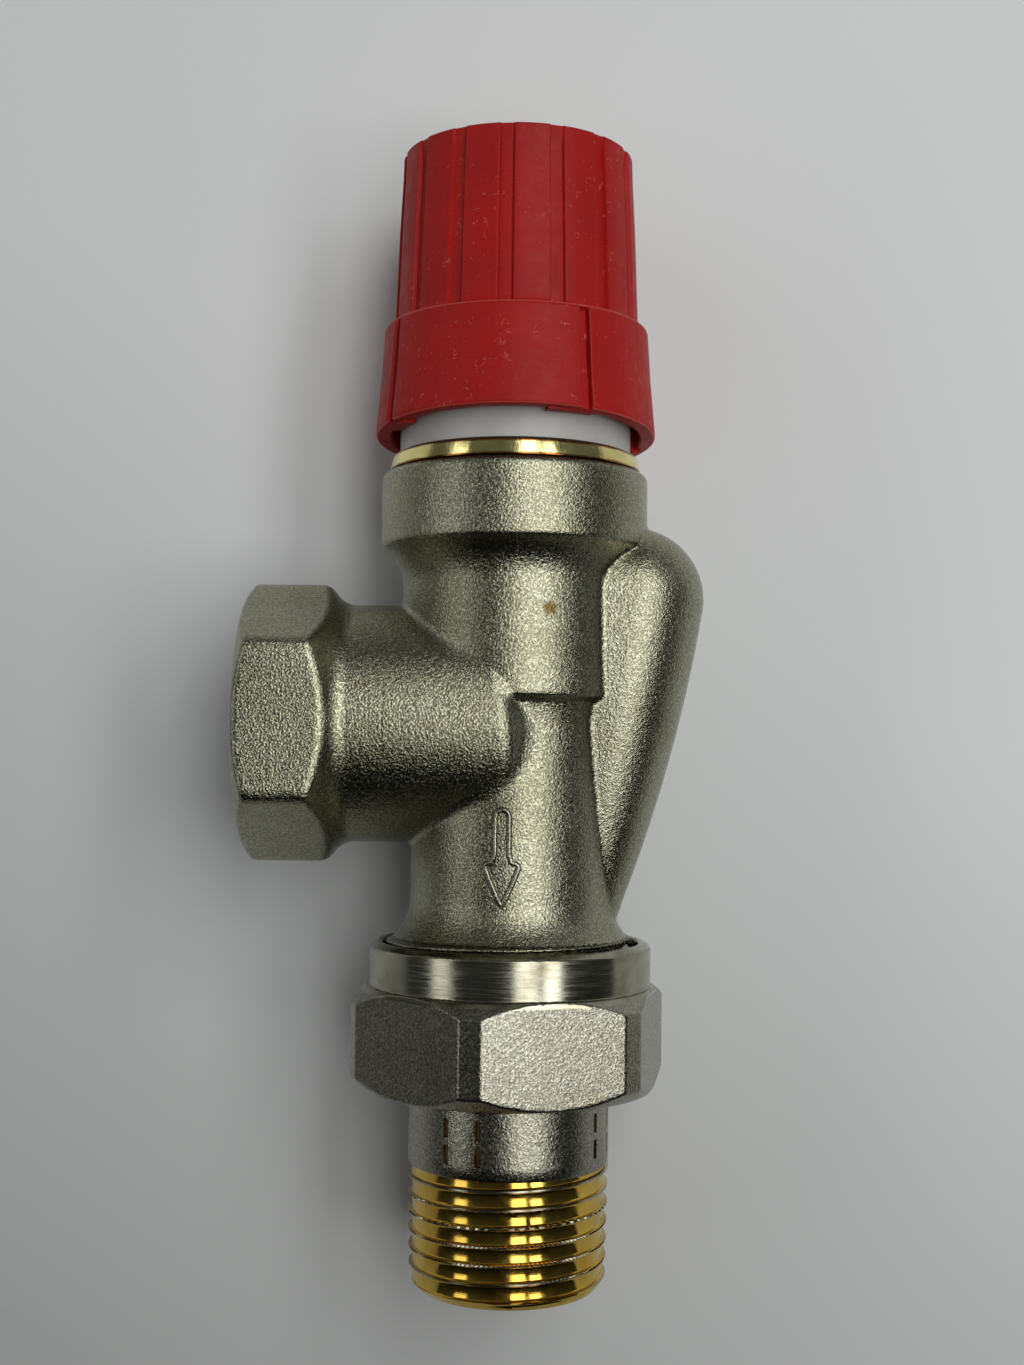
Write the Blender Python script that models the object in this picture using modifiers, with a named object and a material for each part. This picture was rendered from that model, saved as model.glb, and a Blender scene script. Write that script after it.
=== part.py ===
"""Axial thermostatic radiator valve body with a side inlet, a union tail, a preset insert and a cap.

The valve is built upright in its own frame: +Z runs along the main axis towards the cap, the inlet
points to -X, the front faces -Y, and the origin is where the main axis meets the inlet's axis.
The frame empty then lays it on its back, so that +Y runs towards the cap and +Z is up.
"""

import math

import bmesh
import bpy
from mathutils import Matrix, Vector

MM = 0.001
TURN = 2 * math.pi

# Running clearance between pieces that fit each other, and the reach of a cutter past a face.
GAP = 0.3 * MM
OVERCUT = 1.0 * MM

# Sides of the turned pieces: large outer ones, inner ones and small ones.
SIDES = 40
INNER_SIDES = 24
SMALL_SIDES = 14
RING_SECTION_SIDES = 6
SPARE_ROW_COUNT = 6

# Main casting: collar, neck and barrel along the main axis.
COLLAR_R = 14.0 * MM
COLLAR_TOP = 26.1 * MM
COLLAR_HEIGHT = 8.7 * MM
COLLAR_ROUND = 1.0 * MM
COLLAR_UNDERSIDE = 2.1 * MM
COVE_EDGE_IN = 0.25
COVE_FOOT_OUT = 0.2
COVE_RUN = 0.3
NECK_R = 11.7 * MM
NECK_FOOT = 2.2 * MM
NECK_STEP = 1.9 * MM
BARREL_R = 10.5 * MM
BARREL_FOOT = -18.0 * MM
FLARE_R = 12.46 * MM
FLARE_HEIGHT = 4.3 * MM
FLARE_EASE = 0.2
UNION_THREAD_R = 13.0 * MM
UNION_THREAD_LENGTH = 8.3 * MM
UNION_THREAD_EDGE = 0.5 * MM
COLLAR_WALL = 2.8 * MM
NECK_WALL = 2.1 * MM

# Inlet branch, along -X, with its hexagon and its Rp 1/2 socket.
BRANCH_R = 12.4 * MM
BRANCH_ROUND = 2.0 * MM
BRANCH_END_X = -0.5 * MM
HEX_INNER_X = -18.2 * MM
HEX_LENGTH = 9.5 * MM
HEX_FLATS = 27.0 * MM
HEX_SIDE_CORNER = 15.35 * MM
HEX_AXIAL_CORNER = 14.4 * MM
HEX_CHAMFER_R = 13.1 * MM
CHAMFER_REACH = 4.0 * MM
HEX_OUTER_SLOPE = 0.55
HEX_INNER_SLOPE = 0.75
BRANCH_FILLET = 2.3 * MM
FILLET_SWELL = 0.25
FILLET_RUN = 0.4
PIPE_PITCH = 1.814 * MM
PIPE_MINOR_R = 9.3 * MM
PIPE_MAJOR_R = 10.35 * MM
SOCKET_DEPTH = 13.0 * MM
SOCKET_CHAMFER = 1.4 * MM
INLET_R = 5.8 * MM
INLET_END_X = 4.0 * MM

# Valve seat, above the inlet passage.
SEAT_PLATE = 2.2 * MM
SEAT_LIP = 0.8 * MM
SEAT_R = 5.4 * MM
SEAT_WIDTH = 0.9 * MM
SEAT_THROAT_R = 5.0 * MM

# Cast bulge with the passage that leads from the upper chamber down to the outlet.
BULGE_TOP_X = 12.4 * MM
BULGE_TOP_Z = 13.3 * MM
BULGE_TOP_R = 7.6 * MM
BULGE_END_R = 7.0 * MM
BULGE_FOOT_Z = -16.5 * MM
BULGE_SLANT = 0.3
PASSAGE_R = 3.4 * MM
PASSAGE_ROLL = 0.4
PASSAGE_OVERLAP = 5.1 * MM
PORT_R = 3.0 * MM
PORT_SIDES = SMALL_SIDES - 2
PORT_ROLL = 0.7
PASSAGE_WALL = 1.8 * MM
PASSAGE_TOP_DROP = 1.3 * MM
OUTLET_R = 7.4 * MM
OUTLET_TOP = -8.6 * MM

# Union joint: nut and tailpiece with an R 1/2 thread.
TAIL_R = 10.4 * MM
TAIL_PLAIN_END = -45.1 * MM
TAIL_THREAD_LENGTH = 12.7 * MM
TAIL_TAPER = 1 / 50
TAIL_CHAMFER = 1.0 * MM
TAIL_CREST_DROP = 0.05 * MM
TAIL_THREAD_DEPTH = 1.0 * MM
FLANGE_HEIGHT = 2.4 * MM
SPIGOT_R = 10.0 * MM
SPIGOT_LENGTH = 3.8 * MM
SPIGOT_LIP = 0.9 * MM
TAIL_RING_WIRE_R = 0.55 * MM
NUT_COLLAR_R = 14.66 * MM
NUT_COLLAR_EDGE = 0.4 * MM
NUT_TOP = -22.8 * MM
NUT_COLLAR_HEIGHT = 4.6 * MM
NUT_NECK_HEIGHT = 0.5 * MM
NUT_HEX_HEIGHT = 9.6 * MM
NUT_FLATS = 30.0 * MM
NUT_CORNER = 16.66 * MM
NUT_TURN = math.radians(17)
NUT_CHAMFER_R = 14.7 * MM
NUT_SLOPE = 0.62

# Insert, from the seat up: cone, throttle sleeve, core and housing.
LIFT = 2.5 * MM
CONE_R = 6.3 * MM
SEAL_THICK = 1.5 * MM
HOLDER_THICK = 1.1 * MM
WASHER_R = 3.6 * MM
WASHER_THICK = 0.8 * MM
PEEN_R = 2.1 * MM
PEEN_THICK = 0.6 * MM
SPINDLE_R = 1.5 * MM
SPINDLE_TIP_R = 1.2 * MM
SPINDLE_HEAD_R = 2.4 * MM
SPINDLE_HEAD_THICK = 1.2 * MM
CORE_R = 6.3 * MM
CORE_FLANGE_R = 8.0 * MM
CORE_FLANGE_THICK = 1.4 * MM
CORE_FLOOR = 2.9 * MM
CORE_RING_WIRE_R = 0.5 * MM
CORE_RING_UP = 4.5 * MM
CORE_KEY_FLATS = 10.4 * MM
SLEEVE_WALL = 2.3 * MM
WINDOW_HEIGHT = 3.6 * MM
WINDOW_COUNT = 7
WINDOW_PITCH = math.radians(45)
WINDOW_FIRST_WIDTH = 1.0 * MM
WINDOW_WIDTH_STEP = 0.6 * MM
SKIRT_LIP = 0.7 * MM
INSERT_RING_WIRE_R = 0.65 * MM
FLANGE_RING_STEP = 0.7 * MM
FLANGE_RING_DRAFT = 0.4 * MM
FLANGE_RING_HEIGHT = 1.6 * MM
HOUSING_NECK_WALL = 2.4 * MM
HEAD_COLLAR_WALL = 2.85 * MM
HEAD_COLLAR_HEIGHT = 10.4 * MM
HEAD_GROOVE_UP = 4.7 * MM
HEAD_GROOVE_HEIGHT = 2.4 * MM
HEAD_GROOVE_DEPTH = 1.0 * MM
CLIP_THICK = 0.8 * MM
CLIP_DEPTH = 1.0 * MM
CLIP_PROUD = 1.2 * MM
CLIP_MOUTH = 5.0 * MM
NECK_LIP = 0.8 * MM
DIAL_R = 8.5 * MM
DIAL_THICK = 2.1 * MM
DIAL_NOTCHES = 8
DIAL_NOTCH_WIDTH = 1.2 * MM
DIAL_NOTCH_DEPTH = 0.8 * MM
GLAND_HEAD_FLATS = 9.0 * MM
GLAND_HEAD_THICK = 1.7 * MM
GLAND_DEPTH = 5.5 * MM
GLAND_RING_WIRE_R = 0.55 * MM
GLAND_RING_UP = 1.5 * MM
PIN_R = 1.25 * MM
PIN_EDGE = 0.4 * MM
PIN_COLLAR_R = 2.4 * MM
PIN_COLLAR_THICK = 1.2 * MM
PIN_PROUD = 2.8 * MM
PLATE_THICK = 1.2 * MM
SPRING_WIRE_R = 0.4 * MM
SPRING_COIL_R = 2.9 * MM
SPRING_TURNS = 7.5
SPRING_POINTS = 10
SPRING_ROOM = 0.8 * MM

# Protective cap.
CAP_LIP_UP = 1.9 * MM
CAP_SKIRT_HEIGHT = 10.8 * MM
CAP_SHOULDER = 1.2 * MM
SHOULDER_OUT = 0.75
SHOULDER_DROP = 0.35
LIP_SWEEP = 75
CAP_BODY_HEIGHT = 17.4 * MM
CAP_ROOM = 0.98 * MM
CAP_SKIRT_WALL = 1.62 * MM
CAP_SKIRT_DRAFT = 0.5 * MM
CAP_STEP = 1.25 * MM
CAP_BODY_DRAFT = 0.7 * MM
CAP_WALL = 1.7 * MM
CAP_ROOF = 1.8 * MM
CAP_EDGE = 0.8 * MM
CAP_FLUTES = 15
STRIP_REACH = 2.0 * MM
CAP_FLUTE_FIRST = math.radians(-6.2)
CAP_FLUTE_WIDTH = 1.9 * MM
CAP_FLUTE_DEPTH = 0.55 * MM
CAP_GROOVES = 4
CAP_GROOVE_FIRST = math.radians(29)
CAP_GROOVE_WIDTH = 1.1 * MM
CAP_GROOVE_DEPTH = 0.3 * MM
CAP_LUG_WIDTH = 5.6 * MM
CAP_LUG_HEIGHT = 2.4 * MM
CAP_LUG_UP = 1.6 * MM

# Places that follow from the sizes above, along the main axis from the seat up.
CHAMBER_R = NECK_R - NECK_WALL
INSERT_BORE_R = COLLAR_R - COLLAR_WALL
SEAT_FLOOR = INLET_R + SEAT_PLATE
SEAT_TOP = SEAT_FLOOR + SEAT_LIP
SEAL_FOOT = SEAT_TOP + GAP + LIFT
SEAL_TOP = SEAL_FOOT + SEAL_THICK
HOLDER_FOOT = SEAL_TOP + GAP
HOLDER_TOP = HOLDER_FOOT + HOLDER_THICK
WASHER_TOP = SEAL_FOOT - GAP
WASHER_FOOT = WASHER_TOP - WASHER_THICK
PEEN_TOP = WASHER_FOOT - GAP
SPINDLE_SHOULDER = HOLDER_TOP + GAP
CORE_FOOT = SPINDLE_SHOULDER + GAP
CORE_FLANGE_TOP = CORE_FOOT + CORE_FLANGE_THICK
SKIRT_FOOT = CORE_FLANGE_TOP + GAP
SKIRT_GROOVE_HEIGHT = 2 * INSERT_RING_WIRE_R + 2 * GAP
SKIRT_TOP = SKIRT_FOOT + 2 * SKIRT_LIP + SKIRT_GROOVE_HEIGHT
INSERT_SHOULDER = SKIRT_TOP - GAP
RING_FOOT = COLLAR_TOP + GAP
RING_TOP = RING_FOOT + FLANGE_RING_HEIGHT
HEAD_FOOT = RING_TOP + GAP
HEAD_TOP = HEAD_FOOT + HEAD_COLLAR_HEIGHT
CLIP_FOOT = HEAD_TOP + GAP
CLIP_TOP = CLIP_FOOT + CLIP_THICK
NECK_TOP = CLIP_TOP + GAP + NECK_LIP
DIAL_FOOT = NECK_TOP + GAP
DIAL_TOP = DIAL_FOOT + DIAL_THICK
GLAND_HEAD_FOOT = DIAL_TOP + GAP
GLAND_HEAD_TOP = GLAND_HEAD_FOOT + GLAND_HEAD_THICK
GLAND_FOOT = GLAND_HEAD_FOOT - GLAND_DEPTH
PIN_COLLAR_TOP = GLAND_FOOT - GAP
PIN_FOOT = PIN_COLLAR_TOP - PIN_COLLAR_THICK
PIN_TOP = GLAND_HEAD_TOP + PIN_PROUD
SPINDLE_TOP = PIN_FOOT - GAP
SPINDLE_HEAD_FOOT = SPINDLE_TOP - SPINDLE_HEAD_THICK
PLATE_TOP = SPINDLE_HEAD_FOOT - GAP
PLATE_FOOT = PLATE_TOP - PLATE_THICK
SPRING_SEAT = CORE_FOOT + CORE_FLOOR
CORE_BORE_R = SPRING_COIL_R + SPRING_WIRE_R + SPRING_ROOM

# Radii that follow from the core outwards, each round the one before.
HOUSING_BORE_R = CORE_R + GAP
HOUSING_NECK_R = HOUSING_BORE_R + HOUSING_NECK_WALL
HEAD_COLLAR_R = HOUSING_NECK_R + GAP + HEAD_COLLAR_WALL
FLANGE_RING_R = COLLAR_R - FLANGE_RING_STEP
FLANGE_RING_TOP_R = FLANGE_RING_R - FLANGE_RING_DRAFT
CAP_SKIRT_IN_R = HEAD_COLLAR_R + CAP_ROOM
CAP_SKIRT_FOOT_R = CAP_SKIRT_IN_R + CAP_SKIRT_WALL
CAP_SKIRT_TOP_R = CAP_SKIRT_FOOT_R - CAP_SKIRT_DRAFT
CAP_FOOT_R = CAP_SKIRT_TOP_R - CAP_STEP
CAP_TOP_R = CAP_FOOT_R - CAP_BODY_DRAFT

# Places along the main axis from the barrel down.
FLARE_FOOT = BARREL_FOOT - FLARE_HEIGHT
BODY_FOOT = FLARE_FOOT - GAP - UNION_THREAD_LENGTH
FLANGE_TOP = BODY_FOOT - GAP
FLANGE_FOOT = FLANGE_TOP - FLANGE_HEIGHT
NUT_FOOT = NUT_TOP - NUT_COLLAR_HEIGHT - NUT_NECK_HEIGHT - NUT_HEX_HEIGHT
SPIGOT_TOP = FLANGE_TOP + SPIGOT_LENGTH
TAIL_END = TAIL_PLAIN_END - TAIL_THREAD_LENGTH
HEX_OUTER_X = HEX_INNER_X - HEX_LENGTH

# Places of the cap, from its lip up.
CAP_LIP = HEAD_FOOT + CAP_LIP_UP
CAP_SKIRT_TOP = CAP_LIP + CAP_SKIRT_HEIGHT
CAP_BODY_FOOT = CAP_SKIRT_TOP + CAP_SHOULDER
CAP_TOP = CAP_BODY_FOOT + CAP_BODY_HEIGHT


def clear_scene():
    for old in list(bpy.data.objects):
        bpy.data.objects.remove(old, do_unlink=True)


def new_collection(name):
    made = bpy.data.collections.new(name)
    bpy.context.scene.collection.children.link(made)
    return made


def new_material(name, colour, roughness, metallic):
    made = bpy.data.materials.new(name)
    made.use_nodes = True
    shader = made.node_tree.nodes["Principled BSDF"]
    shader.inputs["Base Color"].default_value = (*colour, 1.0)
    shader.inputs["Roughness"].default_value = roughness
    shader.inputs["Metallic"].default_value = metallic
    return made


def arc(centre_r, centre_z, radius, start, end, steps=4):
    """Points on an arc of a profile, from one angle in degrees to another."""
    points = []
    for step in range(steps + 1):
        angle = math.radians(start + (end - start) * step / steps)
        points.append((centre_r + radius * math.cos(angle), centre_z + radius * math.sin(angle)))
    return points


def add_object(name, mesh):
    made = bpy.data.objects.new(name, mesh)
    cutters.objects.link(made)
    made.parent = frame
    made.hide_render = True
    made.display_type = "WIRE"
    return made


def as_part(piece, look):
    """Moves a piece from the cutters to the parts of the valve and gives it its look."""
    cutters.objects.unlink(piece)
    parts.objects.link(piece)
    piece.hide_render = False
    piece.display_type = "TEXTURED"
    piece.data.materials.append(looks[look])
    return piece


def from_bmesh(name, bm):
    mesh = bpy.data.meshes.new(name)
    bmesh.ops.recalc_face_normals(bm, faces=bm.faces)
    bm.to_mesh(mesh)
    bm.free()
    return add_object(name, mesh)


def turned(name, profile, sides=SIDES, hollow=False):
    """A profile of (radius, height) points, top to bottom down its outer side, turned about Z."""
    mesh = bpy.data.meshes.new(name)
    edges = [(i, i + 1) for i in range(len(profile) - 1)]
    if hollow:
        edges.append((len(profile) - 1, 0))
    mesh.from_pydata([(r, 0.0, z) for r, z in profile], edges, [])
    made = add_object(name, mesh)
    screw = made.modifiers.new("turn", "SCREW")
    screw.steps = sides
    screw.render_steps = sides
    screw.use_merge_vertices = True
    screw.merge_threshold = 1e-6
    screw.use_smooth_shade = True
    return made


def torus(name, coil_r, wire_r, height, sides):
    """A round ring about the main axis, at one height."""
    section = []
    for index in range(RING_SECTION_SIDES):
        angle = -TURN * index / RING_SECTION_SIDES
        section.append((coil_r + wire_r * math.cos(angle), height + wire_r * math.sin(angle)))
    return turned(name, section, sides, hollow=True)


def combine(piece, other, operation):
    cut = piece.modifiers.new(operation.lower() + "_" + other.name, "BOOLEAN")
    cut.operation = operation
    cut.object = other
    cut.solver = "EXACT"


def lay_along_x(piece):
    """Turns a piece built along +Z so that it runs along +X."""
    piece.rotation_euler = (0.0, math.radians(90), 0.0)


def outline_of(sides):
    """The corners of a convex outline given by its sides, each an (angle, distance from the axis)."""
    corners = []
    for (a, d), (b, e) in zip(sides, sides[1:] + sides[:1]):
        across = math.sin(b - a)
        x = (d * math.sin(b) - e * math.sin(a)) / across
        y = (e * math.cos(a) - d * math.cos(b)) / across
        corners.append((x, y))
    return corners


def prism(name, corners, foot, top):
    bm = bmesh.new()
    face = bm.faces.new([bm.verts.new((x, y, foot)) for x, y in corners])
    risen = bmesh.ops.extrude_face_region(bm, geom=[face])["geom"]
    lifted = [item for item in risen if isinstance(item, bmesh.types.BMVert)]
    bmesh.ops.translate(bm, verts=lifted, vec=(0.0, 0.0, top - foot))
    return from_bmesh(name, bm)


def boxes(name, sizes, places):
    """Closed boxes as one cutter: each size is (x, y, z) and each place a matrix."""
    bm = bmesh.new()
    for size, place in zip(sizes, places):
        bmesh.ops.create_cube(bm, size=1.0, matrix=place @ Matrix.Diagonal((*size, 1.0)))
    return from_bmesh(name, bm)


def around(angle, radius, height):
    """A place at a radius and a height, at an angle from the front towards +X, facing outwards."""
    return Matrix.Rotation(angle - TURN / 4, 4, "Z") @ Matrix.Translation((radius, 0.0, height))


def thread_radius(phase, minor, major):
    """The radius of a V thread at a phase of its pitch: the crest is at 0 and the root at one half."""
    return minor + (major - minor) * abs(2 * (phase % 1.0) - 1)


def threaded_rod(name, minor, major, pitch, top, foot, sides, taper=0.0, chamfer=0.0):
    """A closed rod with a right-hand V thread: its rows follow the helix and stop at two flat ends."""
    rows = 2 * math.ceil((top - foot) / pitch) + SPARE_ROW_COUNT

    def corner(side, row):
        turn = side / sides
        height = top + pitch * (1 + turn - row / 2)
        height = min(top, max(foot, height))
        narrowed = taper * (top - height)
        radius = thread_radius((height - top) / pitch - turn, minor, major) - narrowed
        if chamfer:
            radius = min(radius, major - narrowed - chamfer + height - foot)
        return (radius * math.cos(TURN * turn), radius * math.sin(TURN * turn), height)

    bm = bmesh.new()
    grid = [[bm.verts.new(corner(side, row)) for row in range(rows + 1)] for side in range(sides)]
    top_centre = bm.verts.new((0.0, 0.0, top))
    foot_centre = bm.verts.new((0.0, 0.0, foot))
    for side in range(sides):
        here = grid[side]
        after = grid[(side + 1) % sides]
        # One turn on, the helix has moved along by one pitch, which is two rows.
        back = 2 if side == sides - 1 else 0
        for row in range(back, rows):
            bm.faces.new((here[row], here[row + 1], after[row + 1 - back], after[row - back]))
        bm.faces.new((top_centre, here[0], after[0]))
        bm.faces.new((foot_centre, after[rows], here[rows]))
    bmesh.ops.remove_doubles(bm, verts=bm.verts, dist=1e-6)
    return from_bmesh(name, bm)


def capsule(name, top, foot, top_r, foot_r, sides, roll=0.0):
    """A round bar with domed ends, from one point to another, rolled by a share of one side."""
    bm = bmesh.new()
    bmesh.ops.create_uvsphere(bm, u_segments=sides, v_segments=sides // 2, radius=1.0)
    length = (Vector(top) - Vector(foot)).length
    for vert in bm.verts:
        if vert.co.z < -1e-4:
            vert.co = vert.co * foot_r - Vector((0.0, 0.0, length))
        else:
            vert.co = vert.co * top_r
    turn = (Vector(top) - Vector(foot)).to_track_quat("Z", "Y").to_matrix().to_4x4()
    rolled = Matrix.Rotation(roll * TURN / sides, 4, "Z")
    bmesh.ops.transform(bm, matrix=Matrix.Translation(top) @ turn @ rolled, verts=bm.verts)
    return from_bmesh(name, bm)


def bulge_x(height):
    return BULGE_TOP_X - BULGE_SLANT * (BULGE_TOP_Z - height)


def casting_profile():
    neck_top = COLLAR_TOP - COLLAR_HEIGHT - COLLAR_UNDERSIDE
    underside = COLLAR_R - NECK_R
    return [
        (0.0, COLLAR_TOP),
        *arc(COLLAR_R - COLLAR_ROUND, COLLAR_TOP - COLLAR_ROUND, COLLAR_ROUND, 90, 0, 3),
        (COLLAR_R, COLLAR_TOP - COLLAR_HEIGHT),
        (COLLAR_R - COVE_EDGE_IN * underside, neck_top + (1 - COVE_RUN) * COLLAR_UNDERSIDE),
        (NECK_R + COVE_FOOT_OUT * underside, neck_top + COVE_RUN * COLLAR_UNDERSIDE),
        (NECK_R, neck_top),
        (NECK_R, NECK_FOOT),
        (BARREL_R, NECK_FOOT - NECK_STEP),
        (BARREL_R, BARREL_FOOT),
        (BARREL_R + FLARE_EASE * (FLARE_R - BARREL_R), BARREL_FOOT - FLARE_HEIGHT / 2),
        (FLARE_R, FLARE_FOOT),
        (UNION_THREAD_R - GAP, FLARE_FOOT - GAP),
        (UNION_THREAD_R, FLARE_FOOT - 2 * GAP),
        (UNION_THREAD_R, BODY_FOOT + UNION_THREAD_EDGE),
        (UNION_THREAD_R - UNION_THREAD_EDGE, BODY_FOOT),
        (0.0, BODY_FOOT),
    ]


def inlet_branch():
    """The round branch: a rounded end proud of the barrel, and a fillet into the hexagon."""
    swell = HEX_FLATS / 2 - BRANCH_R
    profile = [
        (0.0, BRANCH_END_X),
        *arc(BRANCH_R - BRANCH_ROUND, BRANCH_END_X - BRANCH_ROUND, BRANCH_ROUND, 90, 0),
        (BRANCH_R, HEX_INNER_X + BRANCH_FILLET),
        (BRANCH_R + FILLET_SWELL * swell, HEX_INNER_X + FILLET_RUN * BRANCH_FILLET),
        (BRANCH_R + swell, HEX_INNER_X - GAP),
        (0.0, HEX_INNER_X - GAP),
    ]
    branch = turned("branch", profile)
    lay_along_x(branch)
    return branch


def chamfered_prism(name, outline, foot, top, edge_r, foot_slope, top_slope):
    """A prism whose end edges are turned off at a slope, which leaves arcs on its flats."""
    body = prism(name, outline, foot, top)
    profile = [
        (0.0, top),
        (edge_r, top),
        (edge_r + CHAMFER_REACH, top - CHAMFER_REACH * top_slope),
        (edge_r + CHAMFER_REACH, foot + CHAMFER_REACH * foot_slope),
        (edge_r, foot),
        (0.0, foot),
    ]
    combine(body, turned(name + "_turning", profile), "INTERSECT")
    return body


def inlet_hexagon():
    sides = []
    for index in range(6):
        corner = HEX_AXIAL_CORNER if index % 3 == 0 else HEX_SIDE_CORNER
        sides.append((TURN * index / 6, corner))
        sides.append((TURN * (index + 0.5) / 6, HEX_FLATS / 2))
    hexagon = chamfered_prism(
        "inlet_hexagon",
        outline_of(sides),
        HEX_OUTER_X,
        HEX_INNER_X,
        HEX_CHAMFER_R,
        HEX_OUTER_SLOPE,
        HEX_INNER_SLOPE,
    )
    lay_along_x(hexagon)
    for modifier in hexagon.modifiers:
        lay_along_x(modifier.object)
    return hexagon


def upper_bore():
    """Room for the insert, the upper chamber, and the seat with its throat down to the inlet."""
    profile = [
        (0.0, COLLAR_TOP + OVERCUT),
        (INSERT_BORE_R, COLLAR_TOP + OVERCUT),
        (INSERT_BORE_R, INSERT_SHOULDER),
        (CHAMBER_R, INSERT_SHOULDER),
        (CHAMBER_R, SEAT_FLOOR),
        (SEAT_R + SEAT_WIDTH, SEAT_FLOOR),
        (SEAT_R + SEAT_WIDTH - SEAT_LIP / 4, SEAT_TOP),
        (SEAT_R, SEAT_TOP),
        (SEAT_THROAT_R, SEAT_TOP - SEAT_LIP / 2),
        (SEAT_THROAT_R, 0.0),
        (0.0, 0.0),
    ]
    return turned("upper_bore", profile, INNER_SIDES)


def lower_bore():
    counterbore = SPIGOT_R + GAP
    profile = [
        (0.0, OUTLET_TOP),
        (OUTLET_R - OVERCUT, OUTLET_TOP),
        (OUTLET_R, OUTLET_TOP - OVERCUT),
        (OUTLET_R, SPIGOT_TOP + GAP),
        (counterbore, SPIGOT_TOP + GAP),
        (counterbore, BODY_FOOT - OVERCUT),
        (0.0, BODY_FOOT - OVERCUT),
    ]
    return turned("lower_bore", profile, INNER_SIDES)


def inlet_bore():
    """The inlet's drilled passage, its socket and the chamfer at its mouth."""
    socket_end = HEX_OUTER_X + SOCKET_DEPTH
    mouth_r = PIPE_MINOR_R + SOCKET_CHAMFER + OVERCUT
    profile = [
        (0.0, INLET_END_X),
        (INLET_R - OVERCUT, INLET_END_X),
        (INLET_R, INLET_END_X - OVERCUT),
        (INLET_R, socket_end + PIPE_MINOR_R - INLET_R),
        (PIPE_MINOR_R, socket_end),
        (PIPE_MINOR_R, HEX_OUTER_X + SOCKET_CHAMFER),
        (mouth_r, HEX_OUTER_X - OVERCUT),
        (0.0, HEX_OUTER_X - OVERCUT),
    ]
    bore = turned("inlet_bore", profile, INNER_SIDES)
    lay_along_x(bore)
    return bore


def inlet_thread():
    top = HEX_OUTER_X + SOCKET_DEPTH - PIPE_PITCH
    foot = HEX_OUTER_X - OVERCUT
    thread = threaded_rod(
        "inlet_thread", PIPE_MINOR_R - 2 * GAP, PIPE_MAJOR_R, PIPE_PITCH, top, foot, INNER_SIDES
    )
    lay_along_x(thread)
    return thread


def make_valve_body():
    body = turned("valve_body", casting_profile())
    bulge = capsule(
        "bulge",
        (BULGE_TOP_X, 0.0, BULGE_TOP_Z),
        (bulge_x(BULGE_FOOT_Z), 0.0, BULGE_FOOT_Z),
        BULGE_TOP_R,
        BULGE_END_R,
        INNER_SIDES,
    )
    inward = (BULGE_TOP_R + BULGE_END_R) / 2 - PASSAGE_WALL - PASSAGE_R
    passage_top = BULGE_TOP_Z - PASSAGE_TOP_DROP
    passage_foot = OUTLET_TOP - PASSAGE_OVERLAP
    passage = capsule(
        "passage",
        (bulge_x(passage_top) + inward, 0.0, passage_top),
        (bulge_x(passage_foot) + inward, 0.0, passage_foot),
        PASSAGE_R,
        PASSAGE_R,
        SMALL_SIDES,
        PASSAGE_ROLL,
    )
    port = capsule(
        "port",
        (bulge_x(passage_top) + inward, 0.0, passage_top),
        (CHAMBER_R - PASSAGE_R, 0.0, passage_top),
        PORT_R,
        PORT_R,
        PORT_SIDES,
        PORT_ROLL,
    )
    for joined in (inlet_branch(), inlet_hexagon(), bulge):
        combine(body, joined, "UNION")
    for cut in (upper_bore(), lower_bore(), inlet_bore(), inlet_thread(), port, passage):
        combine(body, cut, "DIFFERENCE")
    return as_part(body, "nickel")


def nut_outline():
    sides = []
    for index in range(6):
        flat = NUT_TURN - TURN / 4 + TURN * index / 6
        sides.append((flat, NUT_FLATS / 2))
        sides.append((flat + TURN / 12, NUT_CORNER))
    return outline_of(sides)


def make_union_nut():
    """The loose nut: a polished collar above a hexagon, with a lip that pulls on the tail's flange."""
    hex_top = NUT_FOOT + NUT_HEX_HEIGHT
    collar_foot = NUT_TOP - NUT_COLLAR_HEIGHT
    thread_r = UNION_THREAD_R + GAP
    lip_top = FLANGE_FOOT - GAP
    lip_r = TAIL_R + GAP
    collar_profile = [
        (0.0, NUT_TOP),
        (NUT_COLLAR_R - NUT_COLLAR_EDGE, NUT_TOP),
        (NUT_COLLAR_R, NUT_TOP - NUT_COLLAR_EDGE),
        (NUT_COLLAR_R, collar_foot + NUT_COLLAR_EDGE),
        (NUT_COLLAR_R - NUT_COLLAR_EDGE, collar_foot),
        (NUT_COLLAR_R - NUT_COLLAR_EDGE, hex_top - OVERCUT),
        (0.0, hex_top - OVERCUT),
    ]
    bore_profile = [
        (0.0, NUT_TOP + OVERCUT),
        (thread_r, NUT_TOP + OVERCUT),
        (thread_r, lip_top),
        (lip_r, lip_top),
        (lip_r, NUT_FOOT - OVERCUT),
        (0.0, NUT_FOOT - OVERCUT),
    ]
    nut = chamfered_prism(
        "union_nut", nut_outline(), NUT_FOOT, hex_top, NUT_CHAMFER_R, NUT_SLOPE, NUT_SLOPE
    )
    combine(nut, turned("nut_collar", collar_profile), "UNION")
    combine(nut, turned("nut_bore", bore_profile), "DIFFERENCE")
    return as_part(nut, "nickel")


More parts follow.
